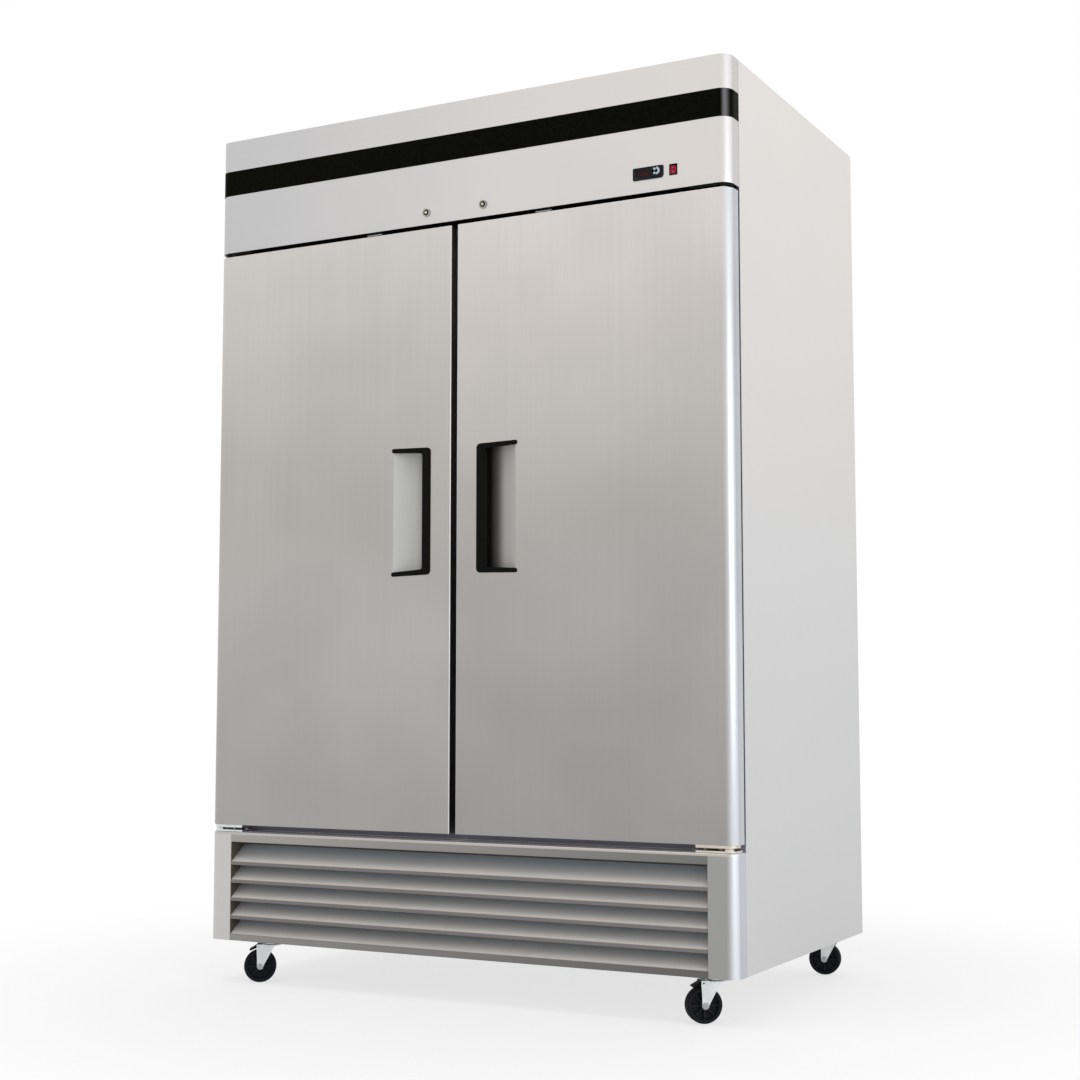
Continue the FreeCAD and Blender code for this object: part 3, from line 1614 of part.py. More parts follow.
def caster_fork(braked):
    """The fork with its axle bolt and nut, at the origin, trailing along X."""
    z_low = crown_bottom()
    z_high = z_low + fork_sheet
    half = fork_half_width()
    x_high = trail - fork_end_radius
    crown = block(-fork_back, x_high, -half, half, z_low, z_high)
    disc = upright(crown_radius, 0, 0, z_low, z_high)
    crown = joined([crown, disc, fork_leg(-1, braked), fork_leg(1, braked)])
    crown = crown.cut(upright(kingpin_radius + running_gap, 0, 0, z_low - overrun, z_high + overrun))
    bolt = inward(axle_radius, trail, -half, half, wheel_radius)
    head = inward(axle_head_radius, trail, -half - axle_head_height, -half, wheel_radius)
    head = eased(head, edge_radius, lambda edge: edge.BoundBox.YMax < -half - axle_head_height + running_gap)
    nut = inward(axle_head_radius, trail, half, half + axle_head_height, wheel_radius)
    nut = eased(nut, edge_radius, lambda edge: edge.BoundBox.YMin > half + axle_head_height - running_gap)
    return [crown, joined([bolt, head, nut])]


def caster_wheel():
    """The wheel on its bore: hub, web with ribs on both faces, and rounded rim."""
    half = wheel_width / 2
    hub_half = half + fork_side_gap - seat_gap
    bore = axle_radius + running_gap
    rim_inner = wheel_radius - wheel_rim
    web = wheel_web / 2
    points = [(bore, -hub_half), (wheel_hub_radius, -hub_half), (wheel_hub_radius, -web), (rim_inner, -web),
              (rim_inner, -half), (wheel_radius, -half), (wheel_radius, half), (rim_inner, half),
              (rim_inner, web), (wheel_hub_radius, web), (wheel_hub_radius, hub_half), (bore, hub_half)]
    face = outline_face([Vector(x, y, 0) for x, y in points])
    wheel = face.revolve(Vector(0, 0, 0), Vector(0, 1, 0), 360)
    wheel = eased(wheel, wheel_edge, lambda edge: is_tread_edge(edge))
    rib_half = half - wheel_rib_recess
    ribs = []
    for number in range(wheel_rib_count):
        rib = block(wheel_hub_radius - edge_radius, rim_inner + edge_radius, -rib_half, rib_half,
                    -wheel_rib_sheet / 2, wheel_rib_sheet / 2)
        rib.rotate(Vector(0, 0, 0), Vector(0, 1, 0), 360.0 * number / wheel_rib_count)
        ribs.append(rib)
    wheel = joined([wheel] + ribs)
    wheel.translate(Vector(trail, 0, wheel_radius))
    return wheel


def is_tread_edge(edge):
    """Whether an edge is a full circle at the wheel's largest radius."""
    bounds = edge.BoundBox
    return bounds.YLength < running_gap and bounds.XMax > wheel_radius - running_gap


def brake_pedal():
    """The brake pedal on its pin between the fork's legs."""
    z_pin = crown_bottom() + fork_sheet - pedal_pin_drop
    x_pin = trail + pedal_pin_advance
    half = pedal_width / 2
    x_tip = x_pin + pedal_reach
    boss = pedal_pin_radius + edge_radius
    z_tip = z_pin - pedal_drop
    points = [(x_pin - boss, z_pin - boss), (x_pin + boss, z_pin - boss),
              (x_tip, z_tip - pedal_sheet / 2), (x_tip, z_tip + pedal_sheet / 2),
              (x_pin + boss, z_pin + boss), (x_pin - boss, z_pin + boss)]
    pedal = outline_face([Vector(x, -half, z) for x, z in points]).extrude(Vector(0, 2 * half, 0))
    pin = inward(pedal_pin_radius, x_pin, -fork_half_width(), fork_half_width(), z_pin)
    return joined([pedal, pin])


def caster_pieces():
    """The forks, wheels and brake pedals, by node name."""
    pieces = {}
    wheel = caster_wheel()
    pedal = brake_pedal()
    for name, x, y, heading in caster_places():
        braked = name.startswith("front")
        pieces["caster_fork_" + name] = [placed(solid, x, y, heading) for solid in caster_fork(braked)]
        pieces["caster_wheel_" + name] = [placed(wheel, x, y, heading)]
        if braked:
            pieces["brake_pedal_" + name] = [placed(pedal, x, y, heading)]
    return pieces


def all_pieces():
    """Every node's solids, by node name."""
    pieces = {
        "side_panel_left": side_panel(-1),
        "side_panel_right": side_panel(1),
        "top_panel": top_panel(),
        "back_panel": back_panel(),
        "bottom_panel": bottom_panel(),
        "cabinet_foam": cabinet_foam(),
        "cabinet_liner": cabinet_liner(),
        "breaker_frame": breaker_frame(),
        "header_fascia": header_fascia(),
        "header_band": header_band(),
        "lock_barrels": lock_barrels(),
        "controller_bezel": controller_bezel(),
        "display_window": display_window(),
        "key_upper": round_key(1),
        "key_lower": round_key(-1),
        "key_crescent": crescent_key(),
        "switch_frame": switch_frame(),
        "power_rocker": power_rocker(),
        "door_switches": door_switches(),
        "upper_hinges": hinge_pair(upper_hinge),
        "lower_hinges": hinge_pair(lower_hinge),
        "wire_shelves": wire_shelves(),
        "shelf_supports": shelf_supports(),
        "evaporator_cover": evaporator_cover(),
        "evaporator_coil": evaporator_coil(),
        "fan_motors": fan_motors(),
        "condenser_fan": condenser_fan(),
        "grille_frame": grille_frame(),
        "grille_louvres": grille_louvres(),
        "base_pan": base_pan(),
        "compressor": compressor(),
        "condenser": condenser(),
        "power_inlet": power_inlet(),
        "caster_plates": caster_plates(),
    }
    for side, name in ((-1, "left"), (1, "right")):
        pieces["door_" + name + "_skin"] = door_pieces(right_skin, side)
        pieces["door_" + name + "_foam"] = door_pieces(right_foam, side)
        pieces["door_" + name + "_liner"] = door_pieces(right_liner, side)
        pieces["door_" + name + "_gasket"] = door_pieces(right_gasket, side)
        pieces["door_" + name + "_handle"] = door_pieces(right_handle, side)
        pieces["door_" + name + "_fittings"] = door_pieces(right_fittings, side)
        pieces["lock_plug_" + name] = lock_plug(side)
        pieces["evaporator_fan_" + name] = evaporator_fan(side)
    pieces.update(caster_pieces())
    return pieces


def write_pieces():
    """One STEP file per node."""
    os.makedirs("parts", exist_ok=True)
    for name, solids in all_pieces().items():
        shape = solids[0] if len(solids) == 1 else Part.makeCompound(solids)
        shape.exportStep("parts/" + name + ".step")


write_pieces()
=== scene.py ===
"""The looks of a two-door upright freezer: its sheet metal, doors, header, grille, casters and insides.

Metres. X to the right, Y to the back, Z up. Z is zero on the floor.
"""

import json
import logging
import math
from dataclasses import dataclass, field, replace
from enum import Enum
from typing import Callable, Sequence

import bmesh
import bpy
import numpy as np
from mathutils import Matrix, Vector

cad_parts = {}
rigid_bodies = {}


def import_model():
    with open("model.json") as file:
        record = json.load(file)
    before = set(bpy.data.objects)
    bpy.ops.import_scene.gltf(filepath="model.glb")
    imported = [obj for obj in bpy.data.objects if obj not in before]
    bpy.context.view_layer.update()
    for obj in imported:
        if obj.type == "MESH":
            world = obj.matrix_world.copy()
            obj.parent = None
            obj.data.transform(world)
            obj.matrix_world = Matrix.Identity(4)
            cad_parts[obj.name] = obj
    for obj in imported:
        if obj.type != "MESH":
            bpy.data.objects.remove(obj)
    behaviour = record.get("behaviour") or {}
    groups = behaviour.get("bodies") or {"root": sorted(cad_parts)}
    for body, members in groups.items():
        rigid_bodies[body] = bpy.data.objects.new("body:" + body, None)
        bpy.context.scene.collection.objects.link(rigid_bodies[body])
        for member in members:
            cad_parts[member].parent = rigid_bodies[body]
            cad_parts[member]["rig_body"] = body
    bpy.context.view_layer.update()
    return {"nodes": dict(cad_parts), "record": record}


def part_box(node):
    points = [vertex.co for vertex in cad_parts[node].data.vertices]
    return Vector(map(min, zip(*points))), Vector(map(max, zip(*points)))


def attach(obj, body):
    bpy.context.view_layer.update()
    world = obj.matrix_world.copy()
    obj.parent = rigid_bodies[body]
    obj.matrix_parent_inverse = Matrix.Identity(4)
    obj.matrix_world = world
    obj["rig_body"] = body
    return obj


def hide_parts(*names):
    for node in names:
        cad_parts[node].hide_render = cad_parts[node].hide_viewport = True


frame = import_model()

Array = np.ndarray
Colour = tuple[float, float, float]
Node, Socket, Tree = bpy.types.Node, bpy.types.NodeSocket, bpy.types.NodeTree
LOG = logging.getLogger("freezer")
MM = 0.001
# Points closer than this, in metres, become one. Edges sharper than this, in degrees, stay crisp.
MERGE = 0.000002
CRISP = 32.0


class Side(Enum):
    """Which half of the freezer a piece belongs to. The value is the sign of its X."""

    LEFT = -1
    RIGHT = 1

    @property
    def word(self) -> str:
        """The side's name in node names."""
        return self.name.lower()


class Grain(Enum):
    """Which way a sheet was brushed, as the stretch of the scratches along X, Y and Z."""

    UPRIGHT = (900.0, 900.0, 7.0)
    ACROSS = (7.0, 900.0, 900.0)
    NONE = (260.0, 260.0, 260.0)


# Surfaces

@dataclass
class Surface:
    """A mesh in the making: points, faces, and the number of the finish on each face."""

    points: Array
    faces: list[list[int]]
    finishes: list[int] = field(default_factory=list)

    def __post_init__(self) -> None:
        """Gives every face the first finish unless told otherwise."""
        if not self.finishes:
            self.finishes = [0] * len(self.faces)

    def plus(self, *others: "Surface") -> "Surface":
        """Joins surfaces into one mesh.

        Args:
            others: the surfaces to add.

        Returns:
            One surface that holds them all.
        """
        points = [self.points]
        faces = list(self.faces)
        finishes = list(self.finishes)
        start = len(self.points)
        for other in others:
            points.append(other.points)
            faces.extend((np.array(face) + start).tolist() for face in other.faces)
            finishes.extend(other.finishes)
            start += len(other.points)
        return Surface(np.concatenate(points), faces, finishes)

    def mapped(self, function: Callable[[Array], Array]) -> "Surface":
        """The same surface with its points changed as one array."""
        return Surface(function(self.points), [list(face) for face in self.faces], list(self.finishes))

    def finished(self, number: int) -> "Surface":
        """The same surface with one finish on all its faces."""
        return Surface(self.points, self.faces, [number] * len(self.faces))

    def mirrored(self) -> "Surface":
        """The same surface on the other side of the middle plane, still facing outwards."""
        flipped = [list(reversed(face)) for face in self.faces]
        return Surface(self.points * np.array([-1.0, 1.0, 1.0]), flipped, list(self.finishes))


def in_mm(values: Sequence[float] | Sequence[Sequence[float]]) -> Array:
    """Sizes or places given in millimetres, in metres."""
    return np.array(values, float) * MM


def turned(points: Array, degrees: float, centre: Sequence[float] = (0.0, 0.0)) -> Array:
    """Points turned about a vertical axis.

    Args:
        points: an array whose last axis holds x, y and z.
        degrees: the angle, positive from X towards Y.
        centre: the axis, as x and y.

    Returns:
        The turned points.
    """
    angle = math.radians(degrees)
    c, s = math.cos(angle), math.sin(angle)
    moved = points - np.array([centre[0], centre[1], 0.0])
    matrix = np.array([[c, s, 0.0], [-s, c, 0.0], [0.0, 0.0, 1.0]])
    return moved @ matrix + np.array([centre[0], centre[1], 0.0])


def grid(points: Array, close_rows: bool = False, close_columns: bool = False,
         keep: Array | None = None) -> Surface:
    """A surface over a grid of points: each cell of four neighbours is a face.

    Args:
        points: an array of rows, columns and xyz.
        close_rows: whether the last row joins the first.
        close_columns: whether the last column joins the first.
        keep: which cells have a face, if not all.

    Returns:
        The surface.
    """
    rows, columns = points.shape[:2]
    number = np.arange(rows * columns).reshape(rows, columns)
    if close_rows:
        number = np.concatenate([number, number[:1]])
    if close_columns:
        number = np.concatenate([number, number[:, :1]], axis=1)
    cells = np.stack([number[:-1, :-1], number[:-1, 1:], number[1:, 1:], number[1:, :-1]], axis=-1)
    chosen = cells.reshape(-1, 4) if keep is None else cells[keep]
    return Surface(points.reshape(-1, 3), chosen.tolist())


def loft(rings: Sequence[Array], cap_first: bool = True) -> Surface:
    """A closed skin over rings of points: neighbours on a ring and on the next ring make a face.

    Args:
        rings: the rings in order, each an array of points by xyz.
        cap_first: whether a flat face closes the first ring, as one always closes the last.

    Returns:
        The surface.
    """
    stack = np.array(rings)
    count = stack.shape[1]
    faces = list(grid(stack, close_columns=True).faces)
    if cap_first:
        faces.append(list(range(count - 1, -1, -1)))
    start = (len(stack) - 1) * count
    faces.append(list(range(start, start + count)))
    return Surface(stack.reshape(-1, 3), faces)


def rounded_loop(low: Sequence[float], high: Sequence[float], radii: float | Sequence[float],
                 steps: int = 6) -> Array:
    """A rectangle with a quarter circle at each corner, anticlockwise from the lower left one.

    Each corner is its centre plus the radius times (cos a, sin a), over a quarter turn of a.

    Args:
        low: the least coordinates.
        high: the greatest coordinates.
        radii: one radius, or four: lower left, lower right, upper right, upper left.
        steps: how many pieces each quarter circle has.

    Returns:
        An array of points by two coordinates.
    """
    corners = ((low[0], low[1], 1, 1, 180), (high[0], low[1], -1, 1, 270),
               (high[0], high[1], -1, -1, 0), (low[0], high[1], 1, -1, 90))
    loops = []
    for (x, z, right, up, start), radius in zip(corners, np.broadcast_to(radii, 4)):
        angle = np.radians(start + np.linspace(0.0, 90.0, steps + 1))
        radius = max(radius, 1e-6)
        centre = np.array([x + right * radius, z + up * radius])
        loops.append(centre + radius * np.stack([np.cos(angle), np.sin(angle)], axis=1))
    return np.concatenate(loops)


def facing_front(loop: Array, depth: float | Array) -> Array:
    """Points of a loop drawn in X and Z, set at a depth along Y."""
    return np.stack(np.broadcast_arrays(loop[..., 0], depth, loop[..., 1]), axis=-1)


def lying_flat(loop: Array, height: float | Array) -> Array:
    """Points of a loop drawn in X and Y, set at a height along Z."""
    return np.stack(np.broadcast_arrays(loop[..., 0], loop[..., 1], height), axis=-1)


def lathe(profile: Sequence[tuple[float, float]], centre: Sequence[float], axis: str,
          segments: int = 48) -> Surface:
    """A turned form: a profile of (radius, distance along the axis) carried round the axis.

    A point is the centre, plus the distance along the axis, plus the radius times the cosine and sine of
    the turn on the two other axes.

    Args:
        profile: radius and distance pairs, from one end to the other.
        centre: where the axis starts.
        axis: the axis that the profile turns about, x, y or z.
        segments: how many faces go round.

    Returns:
        The surface.
    """
    pairs = np.array(profile, float)
    turn = np.linspace(0.0, 2.0 * np.pi, segments, endpoint=False)
    radius = np.maximum(pairs[:, :1], 1e-7)
    first, second = radius * np.cos(turn), radius * np.sin(turn)
    along = np.broadcast_to(pairs[:, 1:], first.shape)
    order = {"x": (along, first, second), "y": (second, along, first), "z": (first, second, along)}[axis]
    return grid(np.stack(order, axis=-1) + np.array(centre), close_columns=True)


def prism(outline: Array, low: float, high: float, axis: str) -> Surface:
    """An outline carried straight along an axis and closed at both ends.

    Args:
        outline: points of the closed outline on the two other axes, in the order (y, z), (x, z) or (x, y).
        low: where it starts.
        high: where it ends.
        axis: x, y or z.

    Returns:
        The surface.
    """
    ends = np.array([low, high])[:, None]
    first = np.broadcast_to(outline[None, :, 0], (2, len(outline)))
    second = np.broadcast_to(outline[None, :, 1], (2, len(outline)))
    along = np.broadcast_to(ends, first.shape)
    order = {"x": (along, first, second), "y": (first, along, second), "z": (first, second, along)}[axis]
    return loft(np.stack(order, axis=-1))


def corner_arc(corner: Array, before: Array, after: Array, radius: float,
               steps: int) -> tuple[Array, Array]:
    """The arc that rounds a corner between two headings.

    For a turn t, the arc begins radius * tan(|t| / 2) before the corner. Its points are the centre less
    the turned left-hand normal times the radius, signed by the way of the turn.

    Args:
        corner: the corner's place.
        before: the unit heading into it.
        after: the unit heading out of it.
        radius: the arc's radius.
        steps: how many pieces it has.

    Returns:
        The arc's points and their unit normals to the left.
    """
    turn = math.atan2(before[0] * after[1] - before[1] * after[0], float(before @ after))
    way = math.copysign(1.0, turn)
    left = np.array([-before[1], before[0]])
    centre = corner - before * radius * math.tan(abs(turn) / 2.0) + left * way * radius
    share = np.linspace(0.0, turn, steps + 1)
    c, s = np.cos(share), np.sin(share)
    normals = np.stack([left[0] * c - left[1] * s, left[0] * s + left[1] * c], axis=1)
    return centre - normals * way * radius, normals


def bent_strip(corners: Sequence[Sequence[float]], radii: Sequence[float], thickness: float,
               steps: int = 5) -> Array:
    """The closed section of a sheet that is bent at each inner corner.

    The second face of the sheet is the first one moved along its normals by the thickness.

    Args:
        corners: points of the sheet's outer line, first end to last end.
        radii: the bend radius at each inner corner.
        thickness: the sheet's thickness, to the left of the line, or to the right if negative.
        steps: how many pieces each bend has.

    Returns:
        The closed outline, as points by two coordinates.
    """
    points = np.array(corners, float)
    heading = np.diff(points, axis=0)
    heading /= np.linalg.norm(heading, axis=1, keepdims=True)
    left = np.stack([-heading[:, 1], heading[:, 0]], axis=1)
    line, normals = [points[:1]], [left[:1]]
    for number, radius in enumerate(radii):
        arc, across = corner_arc(points[number + 1], heading[number], heading[number + 1], radius, steps)
        line.append(arc)
        normals.append(across)
    outer = np.concatenate(line + [points[-1:]])
    inner = outer + np.concatenate(normals + [left[-1:]]) * thickness
    return np.concatenate([outer, inner[::-1]])


def rounded_polygon(corners: Sequence[Sequence[float]], radii: Sequence[float], inset: float = 0.0,
                    steps: int = 5) -> Array:
    """A closed outline with rounded corners, brought in all round.

    A corner between unit inward normals m and n moves by inset * (m + n) / (1 + m.n). Its radius shrinks
    by the inset where the outline turns left, and grows by it where the outline turns right.

    Args:
        corners: the sharp outline, anticlockwise.
        radii: the radius of each corner.
        inset: how far to bring the outline in.
        steps: how many pieces each corner has.

    Returns:
        The outline, as points by two coordinates.
    """
    points = np.array(corners, float)
    after = np.roll(points, -1, axis=0) - points
    after /= np.linalg.norm(after, axis=1, keepdims=True)
    before = np.roll(after, 1, axis=0)
    inward = np.stack([-after[:, 1], after[:, 0]], axis=1)
    inward_before = np.roll(inward, 1, axis=0)
    share = 1.0 + np.sum(inward * inward_before, axis=1, keepdims=True)
    moved = points + inset * (inward + inward_before) / share
    cross = before[:, 0] * after[:, 1] - before[:, 1] * after[:, 0]
    sized = np.maximum(np.array(radii) - np.sign(cross) * inset, 0.0002)
    return np.concatenate([corner_arc(corner, way_in, way_out, radius, steps)[0]
                           for corner, way_in, way_out, radius in zip(moved, before, after, sized)])


@dataclass(frozen=True)
class Plan:
    """A plan outline that is open at the back: side, rounded corner, front, rounded corner, side."""

    x_low: float
    x_high: float
    y_front: float
    y_back: float
    r_low: float
    r_high: float
    breaks: tuple[float, ...] = ()
    steps: int = 14

    def line(self) -> tuple[Array, Array]:
        """The outline's points and outward normals, from one back end to the other.

        A corner's point is its centre plus the radius times the normal (cos a, sin a).
        """
        points = [np.array([[self.x_low, self.y_back]])]
        normals = [np.array([[-1.0, 0.0]])]
        ends = ((self.x_low + self.r_low, self.r_low, 180.0), (self.x_high - self.r_high, self.r_high, 270.0))
        for number, (centre, radius, start) in enumerate(ends):
            angle = np.radians(start + np.linspace(0.0, 90.0, self.steps + 1))
            normal = np.stack([np.cos(angle), np.sin(angle)], axis=1)
            points.append(np.array([centre, self.y_front + radius]) + radius * normal)
            normals.append(normal)
            if number == 0 and self.breaks:
                flat = np.array(sorted(self.breaks))
                points.append(np.stack([flat, np.full(len(flat), self.y_front)], axis=1))
                normals.append(np.tile([0.0, -1.0], (len(flat), 1)))
        points.append(np.array([[self.x_high, self.y_back]]))
        normals.append(np.array([[1.0, 0.0]]))
        return np.concatenate(points), np.concatenate(normals)

    def wall(self, z_low: float, z_high: float, rims: tuple[float, float] = (0.0, 0.0),
             levels: Sequence[float] = (), holes: Sequence["Box"] = ()) -> Surface:
        """The outline carried up, with a rounded rim at either end.

        Over a quarter turn t, a rim of radius r is brought in by r (1 - sin t), and lies r (1 - cos t)
        from the end.

        Args:
            z_low: the lower end.
            z_high: the upper end.
            rims: the rim radius at the lower and the upper end.
            levels: heights where the faces are split.
            holes: boxes whose inside has no faces.

        Returns:
            The wall.
        """
        quarter = np.radians(np.linspace(0.0, 90.0, 5))
        low, high = rims
        heights = [z_low + low * (1.0 - np.cos(quarter)), np.array(sorted(levels)),
                   z_high - high * (1.0 - np.cos(quarter[::-1]))]
        insets = [low * (1.0 - np.sin(quarter)), np.zeros(len(levels)), high * (1.0 - np.sin(quarter[::-1]))]
        if low == 0.0:
            heights[0], insets[0] = heights[0][:1], insets[0][:1]
        if high == 0.0:
            heights[2], insets[2] = heights[2][:1], insets[2][:1]
        base, normal = self.line()
        inset = np.concatenate(insets)
        flat = base[None] - normal[None] * inset[:, None, None]
        points = lying_flat(flat, np.concatenate(heights)[:, None])
        return grid(points, keep=outside(points, holes))

    def cap(self, height: float, inset: float = 0.0, depths: Sequence[float] = (),
            holes: Sequence["Box"] = ()) -> Surface:
        """The level sheet from the outline's front to its back.

        A point is y_f + s (y_back - y_f), where y_f is the outline brought in, and s the share of the depth.

        Args:
            height: the sheet's height.
            inset: how far the outline is brought in.
            depths: Y positions where the faces are split.
            holes: boxes whose inside has no faces.

        Returns:
            The sheet.
        """
        base, normal = self.line()
        edge = (base - normal * inset)[1:-1]
        start = self.y_front + inset
        share = (np.array(sorted(depths)) - start) / (self.y_back - start)
        share = np.concatenate([[0.0], share, [1.0]])[:, None]
        across = np.broadcast_to(edge[None, :, 0], (len(share), len(edge)))
        along = edge[None, :, 1] + share * (self.y_back - edge[None, :, 1])
        points = np.stack([across, along, np.full(across.shape, height)], axis=-1)
        return grid(points, keep=outside(points, holes))


@dataclass(frozen=True)
class Box:
    """A box between two corners, for the holes in a sheet."""

    low: tuple[float, float, float]
    high: tuple[float, float, float]

    def mirrored(self) -> "Box":
        """The same box on the other side of the middle plane."""
        return Box((-self.high[0], self.low[1], self.low[2]), (-self.low[0], self.high[1], self.high[2]))


def outside(points: Array, holes: Sequence[Box]) -> Array:
    """Which cells of a grid have their middle outside all the boxes."""
    middle = (points[:-1, :-1] + points[1:, 1:]) / 2.0
    keep = np.ones(middle.shape[:2], bool)
    for hole in holes:
        keep &= ~np.all((middle > np.array(hole.low)) & (middle < np.array(hole.high)), axis=-1)
    return keep


def crisp_rims(mesh: bpy.types.Mesh) -> None:
    """Marks the edges that have a face on one side only as sharp, so that a thickened rim shades flat."""
    edges = np.empty(len(mesh.loops), int)
    mesh.loops.foreach_get("edge_index", edges)
    sharp = np.zeros(len(mesh.edges), bool)
    mesh.edges.foreach_get("use_edge_sharp", sharp)
    uses = np.bincount(edges, minlength=len(mesh.edges))
    mesh.edges.foreach_set("use_edge_sharp", sharp | (uses == 1))


def in_scene(name: str, data: bpy.types.ID) -> bpy.types.Object:
    """A new object on a mesh, a lamp or a camera, linked into the scene."""
    made = bpy.data.objects.new(name, data)
    bpy.context.scene.collection.objects.link(made)
    return made


def merged_mesh(name: str, surface: Surface, outward: bool = True) -> bpy.types.Mesh:
    """The mesh of a surface, with equal points merged and, if asked, all faces turned outwards."""
    mesh = bpy.data.meshes.new(name)
    mesh.from_pydata(surface.points.tolist(), [], surface.faces)
    mesh.polygons.foreach_set("material_index", surface.finishes)
    work = bmesh.new()
    work.from_mesh(mesh)
    bmesh.ops.remove_doubles(work, verts=work.verts, dist=MERGE)
    bmesh.ops.dissolve_degenerate(work, dist=MERGE, edges=work.edges)
    if outward:
        bmesh.ops.recalc_face_normals(work, faces=work.faces)
    work.to_mesh(mesh)
    work.free()
    return mesh


def make(name: str, surface: Surface, finishes: Sequence["Finish"], body: str = "cabinet", node: str = "",
         smooth: float = CRISP, outward: bool = True, bevel: float = 0.0,
         wall: float = 0.0) -> bpy.types.Object:
    """Turns a surface into a finished piece that rides on a body.

    Args:
        name: the piece's name.
        surface: its mesh.
        finishes: one finish for each number used on the surface's faces.
        body: the body that it moves with.
        node: the CAD node that it replaces, if any.
        smooth: edges sharper than this angle, in degrees, stay crisp.
        outward: whether to turn all faces outwards after the points are merged.
        bevel: the width of the rounding on crisp edges, or zero.
        wall: the thickness that the sheet gets inwards, or zero.

    Returns:
        The piece.
    """
    mesh = merged_mesh(name, surface, outward)
    mesh.shade_smooth()
    mesh.set_sharp_from_angle(angle=math.radians(smooth))
    crisp_rims(mesh)
    for finish in finishes:
        mesh.materials.append(finish.material())
    piece = in_scene(name, mesh)
    if wall > 0.0:
        solid = piece.modifiers.new("wall", "SOLIDIFY")
        solid.thickness = wall
        solid.offset = -1.0
        solid.use_even_offset = True
    if bevel > 0.0:
        edge = piece.modifiers.new("edge", "BEVEL")
        edge.width = bevel
        edge.segments = 2
        edge.limit_method = "ANGLE"
        edge.angle_limit = math.radians(40.0)
        edge.harden_normals = True
        edge.use_clamp_overlap = True
    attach(piece, body)
    if node:
        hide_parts(node)
    LOG.info("%s: %d faces on %s", name, len(mesh.polygons), body)
    return piece


# Shader effects shared by the finishes

